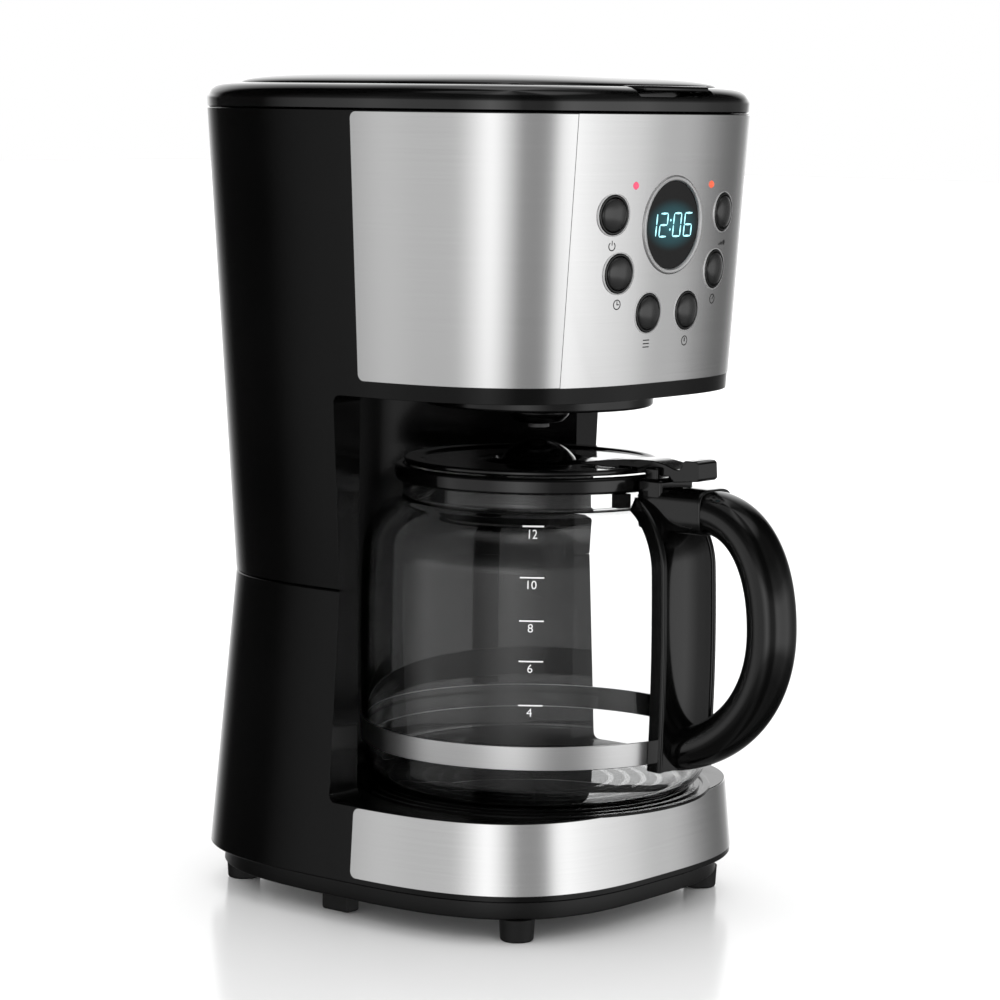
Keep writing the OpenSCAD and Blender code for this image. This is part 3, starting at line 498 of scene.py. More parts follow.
def drawn(count, stations, place, loop=False):
    """Pulls a ring of vertices through stations. place says where a vertex at an angle goes."""
    bm = bmesh.new()
    turn = bm.verts.layers.float.new("turn")
    verts = bmesh.ops.create_circle(bm, segments=count, radius=1)["verts"]
    bmesh.ops.rotate(bm, verts=verts, matrix=Matrix.Rotation(math.pi / count, 3, "Z"))
    for v in verts:
        v[turn] = math.atan2(v.co.y, v.co.x)
    first = edges = list(bm.edges)
    for index, station in enumerate(stations):
        if index:
            made = bmesh.ops.extrude_edge_only(bm, edges=edges)["geom"]
            verts = [g for g in made if isinstance(g, bmesh.types.BMVert)]
            fresh = set(verts)
            edges = [g for g in made if isinstance(g, bmesh.types.BMEdge)
                     and g.verts[0] in fresh and g.verts[1] in fresh]
        for v in verts:
            v.co = place(v[turn], station)
    if loop:
        bmesh.ops.bridge_loops(bm, edges=first + edges)
    else:
        for ring in (first, edges):
            bmesh.ops.edgeloop_fill(bm, edges=ring)
    return outward(bm)


def ringed(stations, loop=False, count=288):
    """A form through outlines of the body, each a height and an inset."""
    return drawn(count, stations, lambda turn, s: on_outline(turn, *s), loop)


def lathe(profile, centre=(0, 0), steps=128, angle=2 * math.pi, start=0.0):
    """Spins a closed outline of (radius, height, rounding) about an upright axis."""
    bm = bmesh.new()
    verts = [bm.verts.new((p[0], 0, p[1])) for p in profile]
    face = bm.faces.new(verts)
    for size in sorted({p[2] for p in profile if len(p) > 2}, reverse=True):
        corners = [v for v, p in zip(verts, profile) if len(p) > 2 and p[2] == size]
        rounded(bm, corners, size, affect="VERTICES")
    if angle > 6.28:
        bmesh.ops.delete(bm, geom=bm.faces[:], context="FACES_ONLY")
        edges = [e for e in bm.edges if e.verts[0].co.x > 1e-4 or e.verts[1].co.x > 1e-4]
        axis = [e for e in bm.edges if e not in edges]
        bmesh.ops.delete(bm, geom=axis, context="EDGES")
        bmesh.ops.spin(bm, geom=bm.verts[:] + bm.edges[:], axis=(0, 0, 1), cent=(0, 0, 0),
                       angle=2 * math.pi, steps=steps, use_merge=True)
        bmesh.ops.remove_doubles(bm, verts=bm.verts, dist=1e-4)
    else:
        bmesh.ops.spin(bm, geom=bm.verts[:] + bm.edges[:] + bm.faces[:], axis=(0, 0, 1),
                       cent=(0, 0, 0), angle=angle, steps=steps)
        bmesh.ops.remove_doubles(bm, verts=bm.verts, dist=1e-4)
        bmesh.ops.rotate(bm, verts=bm.verts, matrix=Matrix.Rotation(start, 3, "Z"))
    bmesh.ops.translate(bm, verts=bm.verts, vec=(centre[0], centre[1], 0))
    return outward(bm)


def on_carafe_axis(profile, steps=160):
    return lathe(profile, (0, carafe_y), steps)


def block(low_corner, high_corner, round_by=0.0):
    """A rectangular block between two corners, with its edges rounded."""
    bm = bmesh.new()
    bmesh.ops.create_cube(bm, size=1)
    a, b = Vector(low_corner), Vector(high_corner)
    bmesh.ops.scale(bm, vec=b - a, verts=bm.verts)
    bmesh.ops.translate(bm, verts=bm.verts, vec=(a + b) / 2)
    if round_by:
        rounded(bm, bm.edges[:], round_by)
    return outward(bm)


def slab(points, depth):
    """An outline of (y, z) points, filled and pulled sideways to a depth."""
    bm = bmesh.new()
    face = bm.faces.new([bm.verts.new((0, *p)) for p in points])
    pulled(bm, [face], (depth, 0, 0))
    return outward(bm)


# %% [markdown]
# ## Lower and upper shell
# Each shell is one moulding: a tapered form with a bay cut through its front for the carafe, and
# hollow behind. Boolean cuts do what the core of the mould does, and a small bevel rounds every
# edge, because a moulded edge is never sharp and shows as a thin line of light.

# %% The bay that both shells are cut by


def bay(grow, fillet=3.4):
    """The carafe's space: open in front and at the sides, with a round recess at the back."""
    y, r = column_y + grow, recess_r + grow
    side = math.sqrt(r * r - (y - carafe_y) ** 2)
    bm = bmesh.new()
    start = bm.verts.new((side, y, deck_z - grow))
    sweep = math.pi - 2 * math.atan2(y - carafe_y, side)
    bmesh.ops.spin(bm, geom=[start], cent=(0, carafe_y, 0), axis=(0, 0, 1), angle=sweep,
                   steps=64)
    end = min(bm.verts, key=lambda v: v.co.x)
    reach = 130
    corners = [bm.verts.new((x, yy, deck_z - grow)) for x, yy in
               ((-reach, y), (-reach, -reach), (reach, -reach), (reach, y))]
    chain = [end, *corners, start]
    for a, b in zip(chain, chain[1:]):
        bm.edges.new((a, b))
    face = bmesh.ops.contextual_create(bm, geom=bm.edges[:])["faces"][0]
    pulled(bm, [face], (0, 0, head_z - deck_z + 2 * grow))
    outward(bm)
    back = [e for e in bm.edges if min(v.co.y for v in e.verts) > y - 0.01
            and abs(e.verts[0].co.z - e.verts[1].co.z) < 0.01]
    rounded(bm, back, fillet, 4)
    return outward(bm)


def hollow(stations):
    """The space inside a shell, which stays a wall's thickness away from the bay."""
    return carve(ringed(stations), bay(wall))


# %% Lower shell
deck_hole = on_carafe_axis([(0, deck_z - 6), (64.05, deck_z - 6), (64.05, deck_z + 6),
                            (0, deck_z + 6)], 128)
lower = ringed([(base_z, 0.6), (base_z + 0.6, 0), (waist_z - 0.5, 0), (waist_z, 0.5)])
lower = carve(lower, bay(0))
lower = carve(lower, hollow([(base_z + 2.8, wall), (waist_z + 1, wall)]))
lower = carve(lower, deck_hole)
piece("lower_shell_moulding", lower, shell_black, "machine", ["lower_shell"],
      bevel=0.8, smooth=28)

# %% Upper shell
panel_window = block((-48, -90, 243.5), (48, -50, 314.5))
chamber_hole = on_carafe_axis([(0, head_z - 3), (48.6, head_z - 3), (48.6, head_z + 6),
                               (0, head_z + 6)], 128)
upper = ringed([(waist_z + 0.15, 0.5), (waist_z + 0.65, 0), (top_z, 0)])
upper = carve(upper, bay(0))
upper = carve(upper, hollow([(waist_z - 1, wall), (top_z + 1, wall)]))
upper = carve(carve(upper, chamber_hole), panel_window)
piece("upper_shell_moulding", upper, shell_black, "machine", ["upper_shell"],
      bevel=0.8, smooth=28)

# %% [markdown]
# ## Steel skins
# Thin sheets are rolled round the front and stand a hair proud of the plastic. Each one is the
# body's outline with a wall, cut by a window with round corners. Their edges get a tiny bevel,
# which is what shows the metal's thickness as a bright line.

# %% Skins
skin_out, skin_in = -0.3, 0.8


def skin(low_z, high_z, x0, x1, rear_y=17.0, corner=3.0):
    sheet = ringed([(low_z, skin_out), (high_z, skin_out), (high_z, skin_in),
                    (low_z, skin_in)], loop=True)
    window = block((x0, -130, low_z - 0.001), (x1, rear_y, high_z + 0.001))
    rear = [e for e in window.edges if min(v.co.y for v in e.verts) > rear_y - 0.01
            and abs(e.verts[0].co.x - e.verts[1].co.x) > 1]
    rounded(window, rear, corner, 6)
    return carve(sheet, window, "INTERSECT")


button_arc_r, ring_r = 38.0, 8.2
lamp_arc_r, lamp_angles = 30.7, (148, 32)
display_z = top_z - 45.2
button_angles = {"power": 173, "delay": 210, "program": 249.5, "hour": 290.5, "minute": 330,
                 "strength": 7}


def on_arc(radius, degrees):
    angle = math.radians(degrees)
    return front_frame(radius * math.cos(angle), display_z + radius * math.sin(angle))


steel_low, steel_high = head_z + 6.6, top_z - 0.4
fascia = skin(steel_low, steel_high, -fascia_half_w, fascia_half_w)
drill = [copied(lathe([(0, -4), (ring_r, -4), (ring_r, 4), (0, 4)], steps=64), on_arc(
    button_arc_r, a)) for a in button_angles.values()]
drill += [moved(lathe([(0, -4), (1.6, -4), (1.6, 4), (0, 4)], steps=32),
                on_arc(lamp_arc_r, a)) for a in lamp_angles]
drill.append(moved(lathe([(0, -4), (19.6, -4), (19.6, 4), (0, 4)]), front_frame(0, display_z)))
fascia = carve(fascia, merged(*drill))
piece("fascia_skin", fascia, steel_skin, "machine", ["control_fascia"],
      bevel=0.22)
gap = 0.12
for side, x0, x1 in (("left", -130, -fascia_half_w - gap), ("right", fascia_half_w + gap, 130)):
    piece(f"head_skin_{side}", skin(steel_low, steel_high, x0, x1), steel_skin, "machine",
          [f"head_wrap_{side}"], bevel=0.22)
piece("base_skin", skin(base_z + 2.8, deck_z - 0.3, -130, 130), steel_skin, "machine",
      ["base_steel_trim"], bevel=0.22)

# %% [markdown]
# ## Rim and lid
# The glossy rim is a ring with soft rounded edges. The lid is a low dome that sits in it, so both
# are pulled through outlines of the body. The rim is notched in front for a finger, and the lid's
# tab reaches over the notch.

# %% Rim
rim_w = 11.0
ledge_z = top_z + 4.5
rim = ringed([(top_z + 0.15, 0.9), (top_z + 0.9, 0), (rim_z - 6.4, 0), (rim_z - 4.6, 0.35),
              (rim_z - 2.9, 1.3), (rim_z - 1.5, 2.8), (rim_z - 0.5, 5.0), (rim_z, 7.6),
              (rim_z, rim_w - 1.2), (rim_z - 0.5, rim_w - 0.4),
              (rim_z - 1.4, rim_w), (ledge_z, rim_w), (ledge_z, rim_w + 3),
              (ledge_z - 2, rim_w + 3), (ledge_z - 2, wall), (top_z + 0.15, wall)], loop=True)
notch = block((-26, -92, rim_z - 4), (26, -61.5, rim_z + 4), 1.2)
# The lid's rear edge swings down into a pocket behind its hinge.
hinge_y, hinge_z = 124.2, (low("lid_hinge_pins").z + high("lid_hinge_pins").z) / 2
hinge_pocket = block((-76, 60, hinge_z - 3.8), (76, hinge_y + 5.6, rim_z + 4))
rim = carve(carve(rim, notch), hinge_pocket)
piece("rim_moulding", rim, gloss_black, "machine", ["top_rim"], bevel=0.35,
      smooth=30)

# %% Lid
lid_low, lid_edge = top_z + 4.7, rim_z - 0.5
lid_rise = high("top_lid").z - lid_edge
lid_gap = 0.5
shell_out = [(lid_low, 0.0), (lid_edge - 0.8, 0.0), (lid_edge - 0.1, 0.35),
             (lid_edge + 0.25, 1.2)]
shell_out += [(lid_edge + 0.25 + (lid_rise - 0.25) * math.sin(math.radians(a)) ** 0.92,
               1.2 + 78 * (1 - math.cos(math.radians(a)))) for a in range(6, 91, 6)]
shell_in = [(z - 2.2, inset + 2.2) for z, inset in reversed(shell_out[3:])]
lid_stations = [(z, inset + rim_w + lid_gap) for z, inset in shell_in + [(lid_low, 2.2)]
                + shell_out]
lid = ringed(lid_stations)
lid = carve(lid, block((-120, hinge_y - 0.4, 300), (120, 200, 400)))
for x in (-30, 30):
    lid = carve(lid, block((x - 14.4, hinge_y - 5.6, 335), (x + 14.4, 200, rim_z + 1.5)))
tab = block((-22, -75.5, lid_edge - 1.6), (22, -61.0, lid_edge + 1.0), 1.1)
knuckles = []
for x in (-30, 30):
    knuckle = lathe([(1.6, -8, 0.3), (3.2, -8, 0.4), (3.2, 8, 0.4), (1.6, 8, 0.3)], steps=32)
    moved(knuckle, at(x, hinge_y, hinge_z) @ Matrix.Rotation(
        math.pi / 2, 4, "Y"))
    knuckles += [knuckle, block((x - 8, hinge_y - 10, hinge_z - 1.2),
                                (x + 8, hinge_y - 2.6, hinge_z + 1.2), 0.3)]
piece("lid_moulding", merged(lid, tab, *knuckles), gloss_black, "lid",
      ["top_lid"], bevel=0.3, smooth=40)

# %% [markdown]
# ## Bottom cover and feet
# The cover is a shallow tray, set in under the base so that the machine seems to float. Its
# rubber feet are turned or moulded pads with soft edges.

# %% Cover and feet
foot_h = 9.5
cover = ringed([(foot_h + 2.5, 8.5), (base_z - 0.1, 8.5), (base_z - 0.1, 6),
                (foot_h + 1.0, 6), (foot_h + 0.3, 6.3), (foot_h, 7)])
piece("cover_moulding", cover, cover_black, "machine", ["base_cover"], bevel=0.3)
round_foot = [(0, foot_h + 0.1), (7.5, foot_h + 0.1, 0.3), (6.9, 0, 1.0), (0, 0)]
for name, x, y in (("front", 64, carafe_y - 43), ("rear", 57, body_y + 82)):
    pair = merged(lathe(round_foot, (x, y), 64), lathe(round_foot, (-x, y), 64))
    piece(f"{name}_foot_pads", pair, foot_rubber, "machine", [f"{name}_feet"])
pads = [block((s * 74 - 4, carafe_y + 37.5, 0), (s * 74 + 4, carafe_y + 52.5, foot_h + 0.1),
              1.4) for s in (-1, 1)]
piece("side_foot_pads", merged(*pads), foot_rubber, "machine", ["side_feet"])

# %% [markdown]
# ## Warming plate and deck rings
# Round parts are spun from their cross-section. The plate has pressed grooves and the deck has
# low steps round the plate that stiffen it.

# %% Plate, seal and deck
plate_profile = [(0, plate_z - 1.5), (60.5, plate_z - 1.5), (60.5, plate_z - 5),
                 (62, plate_z - 5, 0.3), (62, plate_z, 0.7)]
for r in (55, 48, 41, 34):
    plate_profile += [(r + 0.3, plate_z, 0.2), (r - 0.1, plate_z - 0.5, 0.2),
                      (r - 1.3, plate_z - 0.5, 0.2), (r - 1.7, plate_z, 0.2)]
plate_profile.append((0, plate_z))
piece("plate_pressing", on_carafe_axis(plate_profile, 192), plate_coating, "machine",
      ["warming_plate"])
seal = on_carafe_axis([(62.05, deck_z - 4), (64, deck_z - 4), (64, deck_z + 0.5, 0.4),
                       (62.05, deck_z + 0.5, 0.4)])
piece("seal_ring", seal, seal_rubber, "machine", ["plate_seal"])
rings = []
for inner, outer, rise in ((64.3, 67.2, 1.6), (68.6, 71.2, 1.0), (72.8, 75.6, 0.7)):
    rings.append(on_carafe_axis([(inner, deck_z - 0.5), (outer, deck_z - 0.5),
                                 (outer, deck_z + rise, 0.35), (inner, deck_z + rise, 0.35)],
                                192))
piece("deck_rings", merged(*rings), shell_black, "machine")

# %% [markdown]
# ## Brew chamber and basket
# A round skirt hangs out of the head, with the basket's funnel and nozzle inside it.

# %% Chamber and basket
chamber_z = head_z - 6.5
nozzle_z = chamber_z - 8
chamber_top = top_z - 30
chamber = on_carafe_axis([
    (39.5, chamber_z, 0.6), (48.5, chamber_z, 1.2), (48.5, head_z + 1.2, 0.2),
    (48.5, chamber_top, 0.6), (46.5, chamber_top, 0.5), (46.5, chamber_z + 2.5, 0.4),
    (39.5, chamber_z + 2.5, 0.4)])
collar = on_carafe_axis([(48.4, head_z + 2.5), (51.5, head_z + 2.5), (51.5, head_z + 4.5),
                         (48.4, head_z + 4.5)])
piece("brew_skirt", merged(chamber, collar), brew_plastic, "machine",
      ["brew_chamber"])
basket_low, basket_top = chamber_z + 2.5, chamber_top - 1
seat_z = nozzle_z + 5.2
basket = on_carafe_axis([
    (5, nozzle_z, 0.4), (9.75, nozzle_z, 1.2), (13, nozzle_z + 3.5, 1.0),
    (13, nozzle_z + 5, 0.4), (38.5, basket_low, 0.6), (45.8, basket_low, 0.4),
    (45.8, basket_top, 0.4), (44.2, basket_top, 0.4), (44.2, basket_low + 1.6, 0.8),
    (38.5, basket_low + 1.6, 0.8), (11, seat_z + 1.6, 0.5), (2.6, seat_z + 1.6),
    (2.6, seat_z), (5, seat_z)], 128)
piece("filter_funnel", basket, brew_plastic, "machine", ["filter_basket"])

# %% [markdown]
# ## Display and buttons
# The clock sits behind a smoked window in a satin ring. Its digits are lit segments. Six domed
# buttons lie on an arc, each in a black ring with a thin silver lip on the steel round it.

# %% Display
face = front_frame(0, display_z)
bezel = lathe([(18.05, -3), (19.6, -3), (19.6, 0), (20.4, 0.02), (20.4, 0.3, 0.15),
               (19.7, 0.95, 0.4), (18.35, 0.8, 0.3), (18.05, 0.1, 0.2)], steps=160)
piece("bezel_ring", moved(bezel, face), satin_silver, "machine",
      ["display_bezel"])
display_glass = smoked_window("display_glass", face.translation * MM)
lens = lathe([(0, -1.8), (18, -1.8), (18, -0.1, 0.2), (0, -0.1)], steps=128)
piece("clock_window", moved(lens, face), display_glass, "machine",
      ["display_lens"])
SEGMENTS = {"a": (0, 1, 0), "b": (1, 0.5, 1), "c": (1, -0.5, 1), "d": (0, -1, 0),
            "e": (-1, -0.5, 1), "f": (-1, 0.5, 1), "g": (0, 0, 0)}
DIGITS = {"0": "abcdef", "1": "bc", "2": "abged", "6": "acdefg"}
digit_w, digit_h, bar_t, slant = 5.0, 9.4, 0.85, 0.07


def segment(length, thickness):
    """A lit bar with pointed ends."""
    bm = bmesh.new()
    bmesh.ops.create_circle(bm, cap_ends=True, segments=6, radius=thickness / 2)
    for v in bm.verts:
        v.co.x += math.copysign(length / 2 - thickness / 2, v.co.x) if abs(v.co.x) > 1e-4 else 0
    pulled(bm, bm.faces[:], (0, 0, 0.06))
    return outward(bm)


lean = Matrix(((1, slant, 0, 0), (0, 1, 0, 0), (0, 0, 1, 0), (0, 0, 0, 1)))
clock = []
for figure, x in (("1", -13.2), ("2", -5.9), ("0", 3.4), ("6", 10.9)):
    for key in DIGITS[figure]:
        dx, dy, upright = SEGMENTS[key]
        spot = at(x + dx * digit_w / 2, dy * digit_h / 2, -0.1)
        bar = segment(digit_h / 2 - 0.35 if upright else digit_w - 0.35, bar_t)
        clock.append(moved(bar, face @ lean @ spot @ Matrix.Rotation(
            math.pi / 2 * upright, 4, "Z")))
for dy in (-1.9, 1.9):
    clock.append(moved(segment(1.0, 0.99), face @ lean @ at(-1.3, dy, -0.1)))
piece("clock_digits", merged(*clock), digit_cyan, "machine")

# %% Buttons, rings and lamps


def at_buttons(bm):
    """One bmesh with a copy of a form at every button."""
    whole = merged(*[copied(bm, on_arc(button_arc_r, a)) for a in button_angles.values()])
    bm.free()
    return whole


cap_r = ring_r - 1.5
ring = lathe([(cap_r + 0.2, -4), (ring_r, -4), (ring_r, 0.35, 0.2), (ring_r - 0.35, 0.7, 0.3),
              (cap_r + 0.45, 0.7, 0.25), (cap_r + 0.2, 0.3, 0.2)], steps=96)
lip = lathe([(ring_r + 0.02, -0.3), (ring_r + 1.0, -0.3), (ring_r + 0.95, 0.1, 0.08),
             (ring_r + 0.55, 0.3, 0.2), (ring_r + 0.02, 0.36)], steps=96)
piece("button_lips", at_buttons(lip), satin_silver, "machine")
piece("button_collars", at_buttons(ring), gloss_black, "machine",
      ["button_rings"])
dome = [(0, 2.2)] + [(r, 1.0 + 1.2 * (1 - (r / cap_r) ** 2)) for r in (1.5, 3, 4.4, 5.5)]
cap = lathe(dome + [(cap_r, 0.9, 0.5), (cap_r, -5), (7.6, -5), (7.6, -5.1), (2, -5.1),
                    (2, -7.3), (0, -7.3)], steps=96)
for name, angle in button_angles.items():
    piece(f"{name}_cap", copied(cap, on_arc(button_arc_r, angle)), button_black,
          f"press_{name}", [f"button_{name}"])
cap.free()
lamp = lathe([(0, -5), (1.5, -5), (1.5, 0.3, 0.2), (1.2, 1.0, 0.4), (0, 1.5)], steps=48)
left_lamp, right_lamp = [copied(lamp, on_arc(lamp_arc_r, a)) for a in lamp_angles]
lamp.free()
piece("lamp_left", left_lamp, lamp_pink, "machine", ["status_lamps"])
piece("lamp_right", right_lamp, lamp_orange, "machine")

# %% [markdown]
# ## Symbols under the buttons
# Words are left out. Small plain symbols, printed as thin raised ink, say what each button does.

# %% Symbols


def stroke(x0, y0, x1, y1, width=0.45):
    """A straight stroke of ink."""
    a, b = Vector((x0, y0, 0)), Vector((x1, y1, 0))
    turn = math.atan2(b.y - a.y, b.x - a.x)
    bm = block((-width / 2, -width / 2, 0), ((b - a).length + width / 2, width / 2, 0.05))
    return moved(bm, Matrix.Translation(a) @ Matrix.Rotation(turn, 4, "Z"))


def hoop(radius, width=0.45, start=0.0, angle=2 * math.pi, x=0.0, y=0.0):
    """A round stroke of ink."""
    half = width / 2
    bm = lathe([(radius - half, 0), (radius + half, 0), (radius + half, 0.05),
                (radius - half, 0.05)], steps=32, angle=angle, start=start)
    return moved(bm, at(x, y, 0))


def dot(radius, x, y):
    return moved(lathe([(0, 0), (radius, 0), (radius, 0.05), (0, 0.05)], steps=20),
                 at(x, y, 0))


symbols = {
    "power": lambda: [hoop(1.7, start=2.2, angle=5.02), stroke(0, 0.6, 0, 2.1)],
    "delay": lambda: [hoop(1.9), stroke(0, 0, 0, 1.2), stroke(0, 0, 0.9, 0)],
    "program": lambda: [stroke(-1.8, y, 1.8, y) for y in (-1.4, 0, 1.4)],
    "hour": lambda: [hoop(1.9), stroke(0, 0, 0, 0.9, 0.7)],
    "minute": lambda: [hoop(1.9), stroke(0, 0, 0.9, 1.0)],
    "strength": lambda: [dot(0.55, -1.8, -0.8), dot(0.8, 0, -0.5), dot(1.1, 2.3, -0.2)],
}
ink = []
for name, angle in button_angles.items():
    x = button_arc_r * math.cos(math.radians(angle))
    z = display_z + button_arc_r * math.sin(math.radians(angle)) - 12.6
    ink.append(moved(merged(*symbols[name]()), front_frame(x, z) @ at(0, 0, 0.28)))
piece("button_symbols", merged(*ink), icon_black, "machine")

# %% [markdown]
# ## The carafe
# The glass is blown in a mould: a wide belly, a round shoulder and a straight neck. Its section
# is drawn once and spun. A clear wall needs both its faces, so that light bends in and out.

# %% Glass
carafe_r, carafe_h, neck_r, glass_t = 75.1, 137.0, 57.5, 2.2
belly_h, shoulder_h, base_corner = 66.0, 98.0, 11.4
shoulder_r = 28.3


def belly(h):
    return carafe_r - 1.7 * ((h - belly_h) / (belly_h - base_corner)) ** 2


def glass_side(inset, start=base_corner):
    """The glass wall from its bottom corner to its shoulder, set in by a distance."""
    rise = [start + (shoulder_h - start) * i / 12 for i in range(13)]
    bend = [math.radians(a) for a in range(5, 64, 5)]
    return [(belly(h) - inset, h) for h in rise] + [
        (belly(shoulder_h) - shoulder_r + (shoulder_r - inset) * math.cos(a),
         shoulder_h + (shoulder_r - inset) * math.sin(a)) for a in bend]


def glass_wall(inset):
    corner = [(belly(base_corner) - base_corner + (base_corner - inset) * math.cos(a),
               base_corner + (base_corner - inset) * math.sin(a))
              for a in (math.radians(d) for d in range(-90, -5, 10))]
    neck = [(neck_r + 0.9 - inset, carafe_h - 14.2), (neck_r - inset, carafe_h - 12.2),
            (neck_r - inset, carafe_h - 1.5)]
    return [(0, inset)] + corner + glass_side(inset) + neck


glass_profile = glass_wall(0) + [(neck_r - 0.6, carafe_h), (neck_r - 1.6, carafe_h)]
glass_profile += glass_wall(glass_t)[::-1]
glass = on_carafe_axis([(r, h + plate_z) for r, h in glass_profile], 192)
piece("jug_glass_wall", glass, jug_glass, "carafe", ["carafe_glass"], smooth=50)

# %% Steel band and collar
band = on_carafe_axis([
    (belly(18.9) + 0.05, plate_z + 18.9), (belly(18.9) + 0.7, plate_z + 18.9, 0.3),
    (belly(28.9) + 0.7, plate_z + 28.9, 0.3), (belly(28.9) + 0.05, plate_z + 28.9)], 192)
piece("jug_band", band, band_steel, "carafe", ["carafe_band"])
# Painted shade: a thin black sheet between the glass and the band, so the band's inside reads dark
# through the glass in place of the dark it would reflect.
painted_band_shade = on_carafe_axis([
    (belly(19.2) + 0.01, plate_z + 19.1), (belly(19.2) + 0.04, plate_z + 19.1),
    (belly(28.6) + 0.04, plate_z + 28.7), (belly(28.6) + 0.01, plate_z + 28.7)], 192)
piece("jug_band_painted_shade", painted_band_shade, cover_black, "carafe")
lip_z = plate_z + carafe_h
collar = on_carafe_axis([(57.55, lip_z - 6.5), (61, lip_z - 6.5, 1.2),
                         (61, lip_z + 0.4, 1.6), (57.55, lip_z + 0.4, 0.5)])
piece("jug_collar", collar, handle_black, "carafe", ["carafe_collar"])

# %% Scale on the glass


ink_lift = 0.1


def around_glass(bm, angle, height):
    """Lays flat work (x along, y up) on the glass at an angle from the front."""
    for v in bm.verts:
        h = height - plate_z + v.co.y
        r = belly(h) + ink_lift + v.co.z if h < shoulder_h else (
            belly(shoulder_h) - shoulder_r + math.sqrt(
                (shoulder_r + ink_lift + v.co.z) ** 2 - (h - shoulder_h) ** 2))
        turn = angle - v.co.x / carafe_r
        v.co = (-r * math.sin(turn), carafe_y - r * math.cos(turn), height + v.co.y)
    return bm


def number(text, size):
    """A printed number as a thin mesh."""
    curve = bpy.data.curves.new("number", "FONT")
    curve.body, curve.size, curve.align_x = text, size, "CENTER"
    holder = bpy.data.objects.new("number", curve)
    bpy.context.scene.collection.objects.link(holder)
    ready = holder.evaluated_get(bpy.context.evaluated_depsgraph_get())
    bm = bmesh.new()
    bm.from_mesh(ready.to_mesh())
    ready.to_mesh_clear()
    bpy.data.objects.remove(holder)
    bpy.data.curves.remove(curve)
    return bm


marks = []
scale_angle = math.radians(53)
for text, z in (("12", 169.5), ("10", 149.6), ("8", 131.9), ("6", 115.3), ("4", 97.1)):
    line = block((-5, -0.3, 0), (5, 0.3, 0.04))
    bmesh.ops.subdivide_edges(line, edges=line.edges[:], cuts=6, use_grid_fill=True)
    marks.append(around_glass(line, scale_angle, z))
    figure = number(text, 4.9)
    bmesh.ops.translate(figure, verts=figure.verts, vec=(-0.4, -4.6, 0))
    marks.append(around_glass(figure, scale_angle, z))
piece("jug_scale", merged(*marks), scale_white, "carafe")

# %% [markdown]
# ## Handle, shield and thumb lever
# The grip is a soft oval section swept along two curves, as a moulded loop is. A long shield
# with raised edges keeps the hand off the hot glass.

# %% Handle
grip_top = Vector((carafe_y - carafe_r - 14.5, lip_z - 12.7))
grip_mid = Vector((carafe_y - 122, plate_z + carafe_h * 0.56))
grip_end = Vector((carafe_y - carafe_r - 2.5, plate_z + carafe_h * 0.175))


def grip_at(t):
    """A point of the grip's centre line, as (y, z)."""
    if t <= 0.5:
        a, d, t = grip_top, grip_mid, 2 * t
        b = Vector((a.x + (d.x - a.x) * 0.6, a.y))
        c = Vector((d.x, d.y + (a.y - d.y) * 0.62))
    else:
        a, d, t = grip_mid, grip_end, 2 * t - 1
        b = Vector((a.x, a.y + (d.y - a.y) * 0.53))
        c = Vector((d.x + (a.x - d.x) * 0.57, d.y + (a.y - d.y) * 0.09))
    u = 1 - t
    return u ** 3 * a + 3 * u * u * t * b + 3 * u * t * t * c + t ** 3 * d


def grip_point(turn, t):
    along = (grip_at(min(1, t + 0.01)) - grip_at(max(0, t - 0.01))).normalized()
    c, s = math.cos(turn), math.sin(turn)
    wide = 11 * math.copysign(abs(c) ** 0.85, c)
    thick = 9 * math.copysign(abs(s) ** 0.85, s)
    centre = grip_at(t)
    return Vector((wide, centre.x - along.y * thick, centre.y + along.x * thick))


grip = drawn(48, [i / 60 for i in range(61)], grip_point)


def bracket_point(turn, station):
    """A soft-cornered section of the bracket, at a place along Y and a share of full size."""
    y, share = station
    c, s = math.cos(turn), math.sin(turn)
    return Vector((11.7 * share * math.copysign(abs(c) ** 0.5, c), y,
                   grip_top.y + 9.5 * share * math.copysign(abs(s) ** 0.5, s)))


bracket = drawn(64, [(-66.9, 0.9), (-67.2, 0.95), (-68.0, 1), (-97.4, 1.0), (-98.2, 0.98),
                     (-98.6, 0.93)], bracket_point)
saddle = block((-9, -76, grip_top.y - 9), (9, carafe_y - neck_r - 1.6, lip_z - 6.6), 1.4)
hinge_block = block((-11.4, -79, 178), (11.4, -66.7, 187.8), 1.6)
ears = [block((s * 8.1 - 1.3, -75.2, 185), (s * 8.1 + 1.3, -68.8, 192.4), 1.1) for s in (-1, 1)]
piece("jug_handle", merged(grip, bracket, saddle, hinge_block, *ears), handle_black, "carafe",
      ["carafe_handle"], smooth=50)

# %% Shield
shield_turn = math.radians(13)
shield_low = base_corner + 5
shield_outline = glass_side(-7.4, shield_low) + glass_side(-0.9, shield_low)[::-1]
shield = lathe([(r, h + plate_z) for r, h in shield_outline], (0, carafe_y), 12,
               2 * shield_turn, -math.pi / 2 - shield_turn)
bead_line = [(r, h + plate_z) for r, h in glass_side(-7.4, shield_low)]
beads = []
for turn in (-shield_turn * 0.93, shield_turn * 0.93):
    def bead_point(angle, spot, turn=turn):
        r = spot[0] + 1.2 * math.cos(angle)
        x = 1.2 * math.sin(angle)
        return Matrix.Rotation(turn, 3, "Z") @ Vector((x, -r, spot[1])) + Vector((0, carafe_y, 0))
    beads.append(drawn(16, bead_line, bead_point))
piece("handle_guard", merged(shield, *beads), handle_black, "carafe",
      ["handle_shield"], bevel=0.6, smooth=50)

